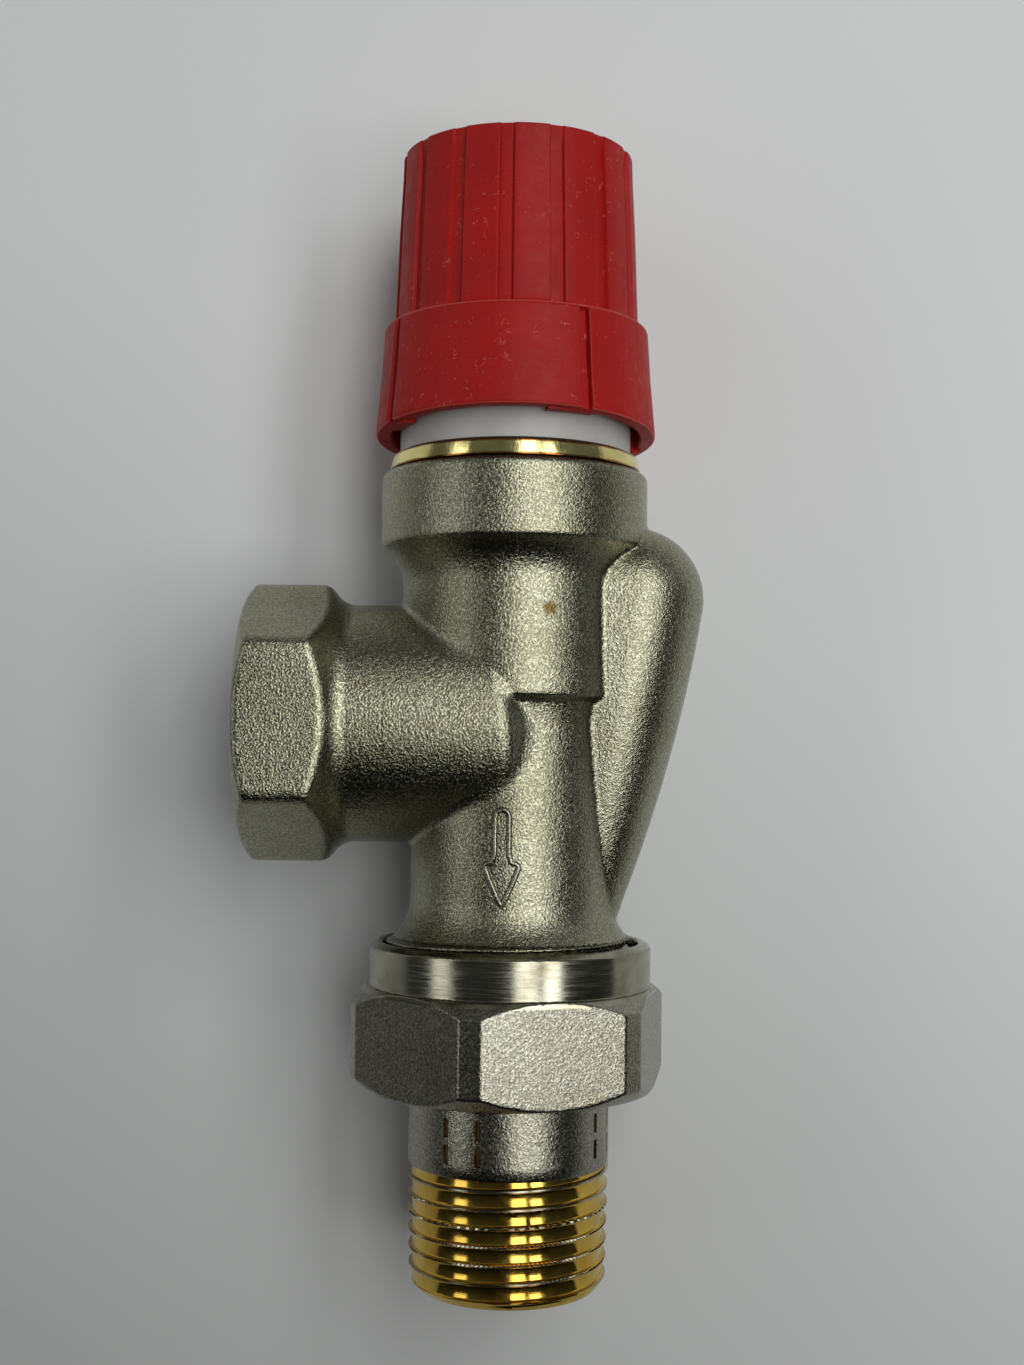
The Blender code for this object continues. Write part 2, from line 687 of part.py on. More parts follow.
def make_tailpiece():
    """The union tail: a spigot with its ring groove, a flange, a plain part and a pipe thread."""
    groove_top = SPIGOT_TOP - SPIGOT_LIP
    groove_foot = groove_top - 2 * (TAIL_RING_WIRE_R + GAP)
    groove_r = SPIGOT_R - 2 * TAIL_RING_WIRE_R - GAP
    core_r = (PIPE_MINOR_R + OUTLET_R) / 2
    profile = [
        (0.0, SPIGOT_TOP),
        (SPIGOT_R - GAP, SPIGOT_TOP),
        (SPIGOT_R, SPIGOT_TOP - GAP),
        (SPIGOT_R, groove_top),
        (groove_r, groove_top),
        (groove_r, groove_foot),
        (SPIGOT_R, groove_foot),
        (SPIGOT_R, FLANGE_TOP),
        (UNION_THREAD_R, FLANGE_TOP),
        (UNION_THREAD_R, FLANGE_FOOT),
        (TAIL_R, FLANGE_FOOT),
        (TAIL_R, TAIL_PLAIN_END),
        (core_r, TAIL_PLAIN_END),
        (core_r, TAIL_END + OVERCUT),
        (0.0, TAIL_END + OVERCUT),
    ]
    bore_profile = [
        (0.0, SPIGOT_TOP + OVERCUT),
        (OUTLET_R, SPIGOT_TOP + OVERCUT),
        (OUTLET_R, TAIL_END - OVERCUT),
        (0.0, TAIL_END - OVERCUT),
    ]
    thread = threaded_rod(
        "tail_thread",
        TAIL_R - TAIL_CREST_DROP - TAIL_THREAD_DEPTH,
        TAIL_R - TAIL_CREST_DROP,
        PIPE_PITCH,
        TAIL_PLAIN_END + GAP,
        TAIL_END,
        INNER_SIDES,
        TAIL_TAPER,
        TAIL_CHAMFER,
    )
    tail = turned("tailpiece", profile, INNER_SIDES)
    combine(tail, thread, "UNION")
    combine(tail, turned("tail_bore", bore_profile, INNER_SIDES), "DIFFERENCE")
    as_part(tail, "nickel")
    ring_height = (groove_top + groove_foot) / 2
    ring = torus(
        "tail_o_ring", SPIGOT_R - TAIL_RING_WIRE_R, TAIL_RING_WIRE_R, ring_height, INNER_SIDES
    )
    as_part(ring, "rubber")


def make_insert_housing():
    """The brass housing that screws into the collar, with its visible ring, and its seal ring."""
    skirt_r = CHAMBER_R - GAP
    groove_foot = SKIRT_FOOT + SKIRT_LIP
    groove_r = skirt_r - 2 * INSERT_RING_WIRE_R - GAP
    clip_r = HOUSING_NECK_R - CLIP_DEPTH
    profile = [
        (HOUSING_NECK_R - GAP, NECK_TOP),
        (HOUSING_NECK_R, NECK_TOP - GAP),
        (HOUSING_NECK_R, CLIP_TOP + GAP),
        (clip_r, CLIP_TOP + GAP),
        (clip_r, CLIP_FOOT - GAP),
        (HOUSING_NECK_R, CLIP_FOOT - GAP),
        (HOUSING_NECK_R, RING_TOP),
        (FLANGE_RING_TOP_R, RING_TOP),
        (FLANGE_RING_R, RING_FOOT),
        (INSERT_BORE_R - GAP, RING_FOOT),
        (INSERT_BORE_R - GAP, SKIRT_TOP),
        (skirt_r, SKIRT_TOP),
        (skirt_r, groove_foot + SKIRT_GROOVE_HEIGHT),
        (groove_r, groove_foot + SKIRT_GROOVE_HEIGHT),
        (groove_r, groove_foot),
        (skirt_r, groove_foot),
        (skirt_r, SKIRT_FOOT),
        (HOUSING_BORE_R, SKIRT_FOOT),
        (HOUSING_BORE_R, NECK_TOP),
    ]
    as_part(turned("insert_housing", profile, SIDES, hollow=True), "brass")
    ring = torus(
        "insert_o_ring",
        skirt_r - INSERT_RING_WIRE_R,
        INSERT_RING_WIRE_R,
        groove_foot + SKIRT_GROOVE_HEIGHT / 2,
        INNER_SIDES,
    )
    as_part(ring, "rubber")


def make_head_collar():
    """The white ring round the housing's neck, with the groove that a thermostatic head clips to."""
    groove_foot = HEAD_FOOT + HEAD_GROOVE_UP
    groove_r = HEAD_COLLAR_R - HEAD_GROOVE_DEPTH
    inner_r = HOUSING_NECK_R + GAP
    profile = [
        (HEAD_COLLAR_R - GAP, HEAD_TOP),
        (HEAD_COLLAR_R, HEAD_TOP - GAP),
        (HEAD_COLLAR_R, groove_foot + HEAD_GROOVE_HEIGHT),
        (groove_r, groove_foot + HEAD_GROOVE_HEIGHT),
        (groove_r, groove_foot),
        (HEAD_COLLAR_R, groove_foot),
        (HEAD_COLLAR_R, HEAD_FOOT),
        (inner_r, HEAD_FOOT),
        (inner_r, HEAD_TOP),
    ]
    return as_part(turned("head_collar", profile, SIDES, hollow=True), "white_plastic")


def make_retaining_ring():
    """The spring ring in the neck's groove that holds the white collar down."""
    inner_r = HOUSING_NECK_R - CLIP_DEPTH + GAP
    outer_r = HOUSING_NECK_R + CLIP_PROUD
    profile = [(outer_r, CLIP_TOP), (outer_r, CLIP_FOOT), (inner_r, CLIP_FOOT), (inner_r, CLIP_TOP)]
    ring = turned("retaining_ring", profile, INNER_SIDES, hollow=True)
    mouth = boxes(
        "clip_mouth",
        [(HOUSING_NECK_R, CLIP_MOUTH, 4 * CLIP_THICK)],
        [around(TURN / 2, HOUSING_NECK_R, (CLIP_TOP + CLIP_FOOT) / 2)],
    )
    combine(ring, mouth, "DIFFERENCE")
    return as_part(ring, "steel")


def make_insert_core():
    """The turning core: a flange that carries the sleeve, a spring chamber and a key for the dial."""
    ring_height = CORE_FLANGE_TOP + CORE_RING_UP
    half = CORE_RING_WIRE_R + GAP
    groove_r = CORE_R - 2 * CORE_RING_WIRE_R - GAP
    profile = [
        (0.0, NECK_TOP),
        (CORE_R, NECK_TOP),
        (CORE_R, ring_height + half),
        (groove_r, ring_height + half),
        (groove_r, ring_height - half),
        (CORE_R, ring_height - half),
        (CORE_R, CORE_FLANGE_TOP),
        (CORE_FLANGE_R, CORE_FLANGE_TOP),
        (CORE_FLANGE_R, CORE_FOOT),
        (0.0, CORE_FOOT),
    ]
    bore_profile = [
        (0.0, DIAL_TOP + OVERCUT),
        (CORE_BORE_R, DIAL_TOP + OVERCUT),
        (CORE_BORE_R, SPRING_SEAT),
        (SPINDLE_R + GAP, SPRING_SEAT),
        (SPINDLE_R + GAP, CORE_FOOT - OVERCUT),
        (0.0, CORE_FOOT - OVERCUT),
    ]
    core = turned("insert_core", profile, INNER_SIDES)
    key = prism("core_key", hexagon_of(CORE_KEY_FLATS), NECK_TOP - OVERCUT, DIAL_TOP)
    combine(core, key, "UNION")
    combine(core, turned("core_bore", bore_profile, INNER_SIDES), "DIFFERENCE")
    as_part(core, "brass")
    ring = torus(
        "core_o_ring", CORE_R - CORE_RING_WIRE_R, CORE_RING_WIRE_R, ring_height, INNER_SIDES
    )
    as_part(ring, "rubber")


def hexagon_of(flats):
    return outline_of([(TURN * index / 6, flats / 2) for index in range(6)])


def make_throttle_sleeve():
    """The sleeve round the cone: turning it brings a wider or narrower window to the port."""
    outer_r = CHAMBER_R - GAP
    inner_r = outer_r - SLEEVE_WALL
    foot = SEAT_FLOOR + GAP
    pocket_r = CORE_FLANGE_R + GAP
    pocket_foot = CORE_FOOT - GAP
    profile = [
        (outer_r, CORE_FLANGE_TOP),
        (outer_r, foot),
        (inner_r, foot),
        (inner_r, pocket_foot),
        (pocket_r, pocket_foot),
        (pocket_r, CORE_FLANGE_TOP),
    ]
    sleeve = turned("throttle_sleeve", profile, INNER_SIDES, hollow=True)
    sizes = []
    places = []
    for index in range(WINDOW_COUNT):
        width = WINDOW_FIRST_WIDTH + WINDOW_WIDTH_STEP * index
        sizes.append((3 * SLEEVE_WALL, width, WINDOW_HEIGHT))
        turn = TURN / 4 + WINDOW_PITCH * (index + 1 - WINDOW_COUNT)
        places.append(around(turn, outer_r - SLEEVE_WALL / 2, (foot + pocket_foot) / 2))
    combine(sleeve, boxes("windows", sizes, places), "DIFFERENCE")
    return as_part(sleeve, "dark_plastic")


def make_setting_dial():
    """The notched disc on the core's key, turned by hand to preset the valve."""
    profile = [
        (0.0, DIAL_TOP),
        (DIAL_R - GAP, DIAL_TOP),
        (DIAL_R, DIAL_TOP - GAP),
        (DIAL_R, DIAL_FOOT),
        (0.0, DIAL_FOOT),
    ]
    dial = turned("setting_dial", profile, INNER_SIDES)
    hole = prism(
        "dial_hole",
        hexagon_of(CORE_KEY_FLATS + 2 * GAP),
        DIAL_FOOT - OVERCUT,
        DIAL_TOP + OVERCUT,
    )
    height = DIAL_TOP
    size = (2 * DIAL_NOTCH_DEPTH, DIAL_NOTCH_WIDTH, 2 * DIAL_NOTCH_DEPTH)
    places = [around(TURN * i / DIAL_NOTCHES, DIAL_R, height) for i in range(DIAL_NOTCHES)]
    combine(dial, hole, "DIFFERENCE")
    combine(dial, boxes("dial_notches", [size] * DIAL_NOTCHES, places), "DIFFERENCE")
    return as_part(dial, "white_plastic")


def make_gland():
    """The gland nut in the core's mouth, and the ring inside it that seals on the pin."""
    bore_r = PIN_R + GAP
    groove_r = bore_r + 2 * GLAND_RING_WIRE_R + GAP
    groove_foot = GLAND_FOOT + GLAND_RING_UP
    groove_top = groove_foot + 2 * (GLAND_RING_WIRE_R + GAP)
    stem_profile = [
        (0.0, GLAND_HEAD_FOOT + OVERCUT),
        (CORE_BORE_R - GAP, GLAND_HEAD_FOOT + OVERCUT),
        (CORE_BORE_R - GAP, GLAND_FOOT),
        (0.0, GLAND_FOOT),
    ]
    bore_profile = [
        (0.0, GLAND_HEAD_TOP + OVERCUT),
        (bore_r, GLAND_HEAD_TOP + OVERCUT),
        (bore_r, groove_top),
        (groove_r, groove_top),
        (groove_r, groove_foot),
        (bore_r, groove_foot),
        (bore_r, GLAND_FOOT - OVERCUT),
        (0.0, GLAND_FOOT - OVERCUT),
    ]
    gland = turned("gland_nut", stem_profile, SMALL_SIDES)
    head = prism("gland_head", hexagon_of(GLAND_HEAD_FLATS), GLAND_HEAD_FOOT, GLAND_HEAD_TOP)
    combine(gland, head, "UNION")
    combine(gland, turned("gland_bore", bore_profile, SMALL_SIDES), "DIFFERENCE")
    as_part(gland, "brass")
    ring_height = (groove_foot + groove_top) / 2
    ring = torus(
        "gland_o_ring", bore_r + GLAND_RING_WIRE_R, GLAND_RING_WIRE_R, ring_height, SMALL_SIDES
    )
    as_part(ring, "rubber")


def make_pin_and_spindle():
    """The pin that the head presses, and the spindle under it that carries the cone."""
    pin_profile = [
        (0.0, PIN_TOP),
        (PIN_R - PIN_EDGE, PIN_TOP),
        (PIN_R, PIN_TOP - PIN_EDGE),
        (PIN_R, PIN_COLLAR_TOP),
        (PIN_COLLAR_R, PIN_COLLAR_TOP),
        (PIN_COLLAR_R, PIN_FOOT),
        (0.0, PIN_FOOT),
    ]
    spindle_profile = [
        (0.0, SPINDLE_TOP),
        (SPINDLE_HEAD_R, SPINDLE_TOP),
        (SPINDLE_HEAD_R, SPINDLE_HEAD_FOOT),
        (SPINDLE_R, SPINDLE_HEAD_FOOT),
        (SPINDLE_R, SPINDLE_SHOULDER),
        (SPINDLE_TIP_R, SPINDLE_SHOULDER),
        (SPINDLE_TIP_R, PEEN_TOP),
        (PEEN_R, PEEN_TOP),
        (PEEN_R - PIN_EDGE, PEEN_TOP - PEEN_THICK),
        (0.0, PEEN_TOP - PEEN_THICK),
    ]
    as_part(turned("pressure_pin", pin_profile, SMALL_SIDES), "steel")
    as_part(turned("spindle", spindle_profile, SMALL_SIDES), "steel")


def make_disc(name, outer_r, hole_r, top, foot, look, sides=INNER_SIDES):
    profile = [(outer_r, top), (outer_r, foot), (hole_r, foot), (hole_r, top)]
    return as_part(turned(name, profile, sides, hollow=True), look)


def make_cone():
    """The valve cone: a brass holder, its rubber seal and the washer that clamps it."""
    hole_r = SPINDLE_TIP_R + GAP
    make_disc("cone_holder", CONE_R, hole_r, HOLDER_TOP, HOLDER_FOOT, "brass")
    make_disc("cone_seal", CONE_R, hole_r, SEAL_TOP, SEAL_FOOT, "rubber")
    make_disc("cone_washer", WASHER_R, hole_r, WASHER_TOP, WASHER_FOOT, "steel", SMALL_SIDES)


def make_return_spring():
    """The coil that lifts the cone, between the core's floor and the plate on the spindle."""
    plate_r = CORE_BORE_R - GAP
    make_disc("spring_plate", plate_r, SPINDLE_R + GAP, PLATE_TOP, PLATE_FOOT, "steel", SMALL_SIDES)
    foot = SPRING_SEAT + GAP + SPRING_WIRE_R
    rise = PLATE_FOOT - GAP - SPRING_WIRE_R - foot
    count = round(SPRING_TURNS * SPRING_POINTS)
    curve = bpy.data.curves.new("return_spring", "CURVE")
    curve.dimensions = "3D"
    curve.bevel_depth = SPRING_WIRE_R
    curve.bevel_resolution = 1
    curve.use_fill_caps = True
    line = curve.splines.new("POLY")
    line.points.add(count)
    for index, point in enumerate(line.points):
        angle = TURN * SPRING_TURNS * index / count
        height = foot + rise * index / count
        x = SPRING_COIL_R * math.cos(angle)
        y = SPRING_COIL_R * math.sin(angle)
        point.co = (x, y, height, 1.0)
    places = [Vector(point.co[:3]) for point in line.points]
    gaps = [
        (a - b).length - 2 * SPRING_WIRE_R
        for i, a in enumerate(places)
        for b in places[i + SPRING_POINTS // 2 :]
    ]
    print(f"return_spring: least gap between its turns {min(gaps) / MM:.2f} mm")
    return as_part(add_object("return_spring", curve), "steel")


def make_protective_cap():
    """The hand cap: a fluted body on a wider skirt, with lugs inside that centre it."""
    body_in_r = CAP_FOOT_R - CAP_WALL
    top_in_r = CAP_TOP_R - CAP_WALL
    step = HEAD_TOP + GAP
    lip_round = (CAP_SKIRT_FOOT_R - CAP_SKIRT_IN_R) / 2
    shoulder_r = CAP_FOOT_R + SHOULDER_OUT * (CAP_SKIRT_TOP_R - CAP_FOOT_R)
    profile = [
        (0.0, CAP_TOP),
        *arc(CAP_TOP_R - CAP_EDGE, CAP_TOP - CAP_EDGE, CAP_EDGE, 90, 0, 3),
        (CAP_FOOT_R, CAP_BODY_FOOT),
        (shoulder_r, CAP_BODY_FOOT - SHOULDER_DROP * CAP_SHOULDER),
        (CAP_SKIRT_TOP_R, CAP_SKIRT_TOP),
        *arc(CAP_SKIRT_FOOT_R - lip_round, CAP_LIP + lip_round, lip_round, 0, -LIP_SWEEP, 3),
        (CAP_SKIRT_IN_R, CAP_LIP),
        (CAP_SKIRT_IN_R, step),
        (body_in_r, step),
        (top_in_r, CAP_TOP - CAP_ROOF),
        (0.0, CAP_TOP - CAP_ROOF),
    ]
    cap = turned("protective_cap", profile)
    combine(cap, cap_flutes(), "DIFFERENCE")
    combine(cap, cap_grooves(), "DIFFERENCE")
    combine(cap, cap_lugs(), "UNION")
    return as_part(cap, "red_plastic")


def strips(name, count, first, width, depth, foot, top, foot_r, top_r):
    """Upright cutters round the cap that follow the draft of its wall."""
    draft = math.atan((foot_r - top_r) / (top - foot))
    middle_r = (foot_r + top_r) / 2 - depth + STRIP_REACH / 2
    size = (STRIP_REACH, width, top - foot)
    places = []
    for index in range(count):
        place = around(first + TURN * index / count, middle_r, (foot + top) / 2)
        places.append(place @ Matrix.Rotation(-draft, 4, "Y"))
    return boxes(name, [size] * count, places)


def cap_flutes():
    top = CAP_TOP + OVERCUT
    slope = (CAP_FOOT_R - CAP_TOP_R) / CAP_BODY_HEIGHT
    top_r = CAP_TOP_R - slope * OVERCUT
    return strips(
        "cap_flutes",
        CAP_FLUTES,
        CAP_FLUTE_FIRST,
        CAP_FLUTE_WIDTH,
        CAP_FLUTE_DEPTH,
        CAP_BODY_FOOT,
        top,
        CAP_FOOT_R,
        top_r,
    )


def cap_grooves():
    return strips(
        "cap_grooves",
        CAP_GROOVES,
        CAP_GROOVE_FIRST,
        CAP_GROOVE_WIDTH,
        CAP_GROOVE_DEPTH,
        CAP_LIP - OVERCUT,
        CAP_SKIRT_TOP - OVERCUT,
        CAP_SKIRT_FOOT_R,
        CAP_SKIRT_TOP_R,
    )


def cap_lugs():
    inner_r = HEAD_COLLAR_R + GAP
    reach = CAP_SKIRT_FOOT_R - CAP_SKIRT_WALL / 2 - inner_r
    size = (reach, CAP_LUG_WIDTH, CAP_LUG_HEIGHT)
    height = CAP_LIP + CAP_LUG_UP + CAP_LUG_HEIGHT / 2
    places = [
        around(CAP_GROOVE_FIRST + TURN * index / CAP_GROOVES, inner_r + reach / 2, height)
        for index in range(CAP_GROOVES)
    ]
    return boxes("cap_lugs", [size] * CAP_GROOVES, places)


def lay_on_back():
    """Lays the valve down and puts the middle of its box's underside at the world's origin."""
    frame.rotation_euler = (-TURN / 4, 0.0, 0.0)
    bpy.context.view_layer.update()
    graph = bpy.context.evaluated_depsgraph_get()
    places = []
    for piece in parts.objects:
        shown = piece.evaluated_get(graph)
        places += [shown.matrix_world @ vert.co for vert in shown.to_mesh().vertices]
        shown.to_mesh_clear()
    low = [min(place[axis] for place in places) for axis in range(3)]
    high = [max(place[axis] for place in places) for axis in range(3)]
    frame.location = (-(low[0] + high[0]) / 2, -(low[1] + high[1]) / 2, -low[2])


clear_scene()
parts = new_collection("axial_radiator_valve")
cutters = new_collection("cutters")
frame = bpy.data.objects.new("valve_frame", None)
bpy.context.scene.collection.objects.link(frame)
looks = {
    "nickel": new_material("nickel", (0.50, 0.47, 0.38), 0.42, 1.0),
    "brass": new_material("brass", (0.83, 0.62, 0.24), 0.28, 1.0),
    "steel": new_material("steel", (0.62, 0.62, 0.62), 0.30, 1.0),
    "rubber": new_material("rubber", (0.03, 0.03, 0.03), 0.70, 0.0),
    "white_plastic": new_material("white_plastic", (0.80, 0.81, 0.80), 0.45, 0.0),
    "dark_plastic": new_material("dark_plastic", (0.08, 0.08, 0.09), 0.50, 0.0),
    "red_plastic": new_material("red_plastic", (0.62, 0.02, 0.03), 0.45, 0.0),
}
make_valve_body()
make_union_nut()
make_tailpiece()
make_insert_housing()
make_head_collar()
make_retaining_ring()
make_insert_core()
make_throttle_sleeve()
make_setting_dial()
make_gland()
make_pin_and_spindle()
make_cone()
make_return_spring()
make_protective_cap()
lay_on_back()
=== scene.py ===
import math

import bmesh
import bpy
import numpy as np
from mathutils import Matrix, Vector


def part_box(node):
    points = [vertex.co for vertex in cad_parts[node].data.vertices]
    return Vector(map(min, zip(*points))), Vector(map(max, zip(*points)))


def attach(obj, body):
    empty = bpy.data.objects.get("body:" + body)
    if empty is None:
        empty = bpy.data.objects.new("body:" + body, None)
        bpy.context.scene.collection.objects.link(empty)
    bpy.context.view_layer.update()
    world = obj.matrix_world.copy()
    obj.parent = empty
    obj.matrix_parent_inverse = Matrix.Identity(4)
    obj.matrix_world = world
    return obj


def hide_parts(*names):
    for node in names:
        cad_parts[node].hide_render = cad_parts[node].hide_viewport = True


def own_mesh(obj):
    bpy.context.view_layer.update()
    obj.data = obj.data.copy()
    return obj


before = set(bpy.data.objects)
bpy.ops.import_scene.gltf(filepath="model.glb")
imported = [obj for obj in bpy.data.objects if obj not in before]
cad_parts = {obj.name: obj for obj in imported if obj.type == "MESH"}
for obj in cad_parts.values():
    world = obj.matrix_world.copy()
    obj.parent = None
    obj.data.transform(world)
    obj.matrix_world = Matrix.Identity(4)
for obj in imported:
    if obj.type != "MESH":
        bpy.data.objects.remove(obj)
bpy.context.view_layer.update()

# Lengths are in millimetres in the valve's own upright frame, as in the source of the solids:
# +Z towards the cap, the inlet at -X, the front at -Y, the origin where both axes meet.
MM = 0.001
TURN = 2 * math.pi
PITCH = 1.814
COLLAR_R = 14.0
NECK_R = 11.7
BARREL_R = 10.5
BRANCH_R = 12.4
INLET_X = -27.7
INLET_HEX_X = -18.2
INLET_FLATS = 27.0
NUT_FLATS = 30.0
NUT_COLLAR_R = 14.66
NUT_HEX_TOP = -27.0
NUT_FOOT = -37.5
TAIL_R = 10.4
TAIL_BORE_R = 7.4
TAIL_THREAD_TOP = -45.15
TAIL_END = -57.8
TAIL_COLUMNS = 264


def origin_in_row():
    """The valve's own origin in the row frame, from the boxes of the collar and the tail."""
    low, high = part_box("head_collar")
    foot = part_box("tailpiece")[0]
    return np.array([(low.x + high.x) / 2, foot.y - TAIL_END * MM, (low.z + high.z) / 2])


ORIGIN = origin_in_row()


def to_row(points):
    """Points of the upright frame in millimetres, laid on the valve's back in the row frame."""
    p = np.asarray(points, float)
    return np.stack([p[..., 0], p[..., 2], -p[..., 1]], -1) * MM + ORIGIN


def place(x, y, z):
    return Vector(to_row([x, y, z]))


def span(node):
    """The heights of a node's foot and top in the upright frame."""
    low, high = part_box(node)
    return (low.y - ORIGIN[1]) / MM, (high.y - ORIGIN[1]) / MM


# ---------------------------------------------------------------- meshes

def finish_mesh(name, vertices, faces, look, normals=None, sharp=35.0):
    mesh = bpy.data.meshes.new(name)
    mesh.from_pydata(vertices.tolist(), [], faces.tolist())
    bm = bmesh.new()
    bm.from_mesh(mesh)
    if normals is None:
        bmesh.ops.remove_doubles(bm, verts=bm.verts, dist=2e-6)
        bmesh.ops.dissolve_degenerate(bm, edges=bm.edges, dist=1e-6)
    if bm.calc_volume(signed=True) < 0:
        bmesh.ops.reverse_faces(bm, faces=bm.faces)
    bm.to_mesh(mesh)
    bm.free()
    mesh.shade_smooth()
    made = bpy.data.objects.new(name, mesh)
    bpy.context.scene.collection.objects.link(made)
    mesh.materials.append(look)
    if normals is None:
        mesh.set_sharp_from_angle(angle=math.radians(sharp))
        weighted = made.modifiers.new("even_shading", "WEIGHTED_NORMAL")
        weighted.keep_sharp = True
    else:
        mesh.normals_split_custom_set_from_vertices(normals.tolist())
    return made


def skin(name, rings, look, closed=True, sharp=35.0):
    """Joins rings of points into one surface, and its last ring to its first if closed."""
    rings = np.asarray(rings)
    rows, columns = rings.shape[:2]
    last_row = rows if closed else rows - 1
    i, j = np.meshgrid(np.arange(last_row), np.arange(columns), indexing="ij")
    i, j = i.ravel(), j.ravel()
    after, beside = (i + 1) % rows, (j + 1) % columns
    corners = [i * columns + j, i * columns + beside, after * columns + beside, after * columns + j]
    return finish_mesh(name, to_row(rings.reshape(-1, 3)), np.stack(corners, 1), look, sharp=sharp)


def eased(profile, size, closed):
    """The profile with each corner cut back by up to a size, with one point on the way round."""
    points = np.asarray(profile, float)
    made = []
    for k, corner in enumerate(points):
        if not closed and k in (0, len(points) - 1):
            made.append(corner)
            continue
        for_side = []
        for other in (points[k - 1], points[(k + 1) % len(points)]):
            way = other - corner
            length = max(float(np.hypot(*way)), 1e-9)
            for_side.append(corner + way * min(size, 0.42 * length) / length)
        made += [for_side[0], (for_side[0] + 2 * corner + for_side[1]) / 4, for_side[1]]
    return np.array(made)


def angles_from_front(count):
    return np.arange(count) * TURN / count


def ring(radii, heights, angles):
    """One turn of points at angles counted from the front towards +X."""
    radii = np.broadcast_to(radii, angles.shape)
    heights = np.broadcast_to(heights, angles.shape)
    return np.stack([radii * np.sin(angles), -radii * np.cos(angles), heights], -1)


def turned(name, profile, look, size=0.12, columns=128, closed=True, limit=None):
    """A profile of (radius, height) turned about the main axis, within a limit by angle."""
    angles = angles_from_front(columns)
    rings = []
    for radius, height in eased(profile, size, closed):
        radii = np.full(columns, radius)
        if limit is not None:
            radii = limit(radius, height, angles)
        rings.append(ring(radii, height, angles))
    return skin(name, rings, look, closed)


def hexagon(angles, flats):
    """The radius of a hexagon at each angle, with the middle of one flat at the front."""
    off = (angles + TURN / 12) % (TURN / 6) - TURN / 12
    return flats / 2 / np.cos(off)


def hexagon_above(foot, flats):
    """A limit for turned that is a hexagon above a height and round below it."""

    def limit(radius, height, angles):
        if height > foot:
            return np.minimum(radius, hexagon(angles, flats))
        return np.full(angles.shape, radius)

    return limit


def capped(rings):
    """The rings of an open tube, with each end drawn in to its middle."""
    first, last = (np.broadcast_to(r.mean(0), r.shape)[None] for r in (rings[0], rings[-1]))
    return np.concatenate([first, rings, last])


def swept(section, angles):
    """A section of (radius, height) led round a part of a turn, with closed ends."""
    return capped(np.moveaxis(np.array([ring(r, z, angles) for r, z in section]), 0, 1))


# ---------------------------------------------------------------- distance fields

def joined(a, b, fillet):
    """The union of two fields, with a fillet of that radius where they meet."""
    u, v = np.maximum(fillet - a, 0), np.maximum(fillet - b, 0)
    return np.maximum(fillet, np.minimum(a, b)) - np.hypot(u, v)


def shared(a, b, edge):
    """The part that two fields share, with its edge rounded by that radius."""
    u, v = np.maximum(edge + a, 0), np.maximum(edge + b, 0)
    return np.minimum(-edge, np.maximum(a, b)) + np.hypot(u, v)


def bar(x, y, z, top, foot, top_r, foot_r, flat=0.0):
    """A tapered bar with domed ends between two points in the plane y = 0, widened towards -X."""
    ax, az = foot[0] - top[0], foot[1] - top[1]
    along = np.clip(((x - top[0]) * ax + (z - top[1]) * az) / (ax * ax + az * az), 0, 1)
    aside = x - top[0] - along * ax
    aside = np.where(aside < 0, np.minimum(aside + flat, 0), aside)
    reach = np.sqrt(aside**2 + y * y + (z - top[1] - along * az) ** 2)
    return reach - top_r - along**2 * (foot_r - top_r)


def thread(radius, turns, minor, depth):
    """A right-hand V thread at a radius, and at a height in pitches less the share of a turn."""
    wave = np.abs(2 * (turns % 1.0) - 1)
    return (radius - minor - depth * np.clip(wave * 1.25 - 0.12, 0, 1)) * 0.7


def bore_field(x, y, z, rho, across):
    """Everything that is machined out of the casting: negative inside the hollow."""
    upper = np.maximum(rho - 11.2, 19.8 - z)
    chamber = np.maximum(rho - 9.6, 8.0 - z)
    seat = np.maximum(np.abs(rho - 5.85) - 0.45, z - 8.8)
    chamber = np.maximum(chamber, -seat)
    throat = np.maximum(rho - 5.0, -z)
    outlet = np.maximum(rho - 7.4, z + 8.6)
    counter = np.maximum(rho - 10.3, z + 27.1)
    drilled = np.maximum(across - 5.8, x - 4.0)
    cone = (across - 5.8 - np.maximum(-14.7 - x, 0)) * 0.7
    socket = np.maximum(np.maximum(across - 9.3, cone), x + 11.0)
    angle = np.arctan2(y, z) / TURN
    cut = np.maximum(thread(across, x / PITCH - angle, 9.3, 1.05), x + 15.4)
    mouth = (across - 10.9 + (x - INLET_X)) * 0.7
    slant = bar(x, y, z, (13.4, 12.0), (7.2, -13.7), 3.4, 3.4)
    port = bar(x, y, z, (13.4, 12.0), (6.2, 12.0), 3.0, 3.0)
    hollow = np.minimum(np.minimum(upper, chamber), np.minimum(throat, outlet))
    hollow = np.minimum(hollow, np.minimum(np.minimum(counter, drilled), np.minimum(socket, cut)))
    return np.minimum(np.minimum(hollow, mouth), np.minimum(slant, port))


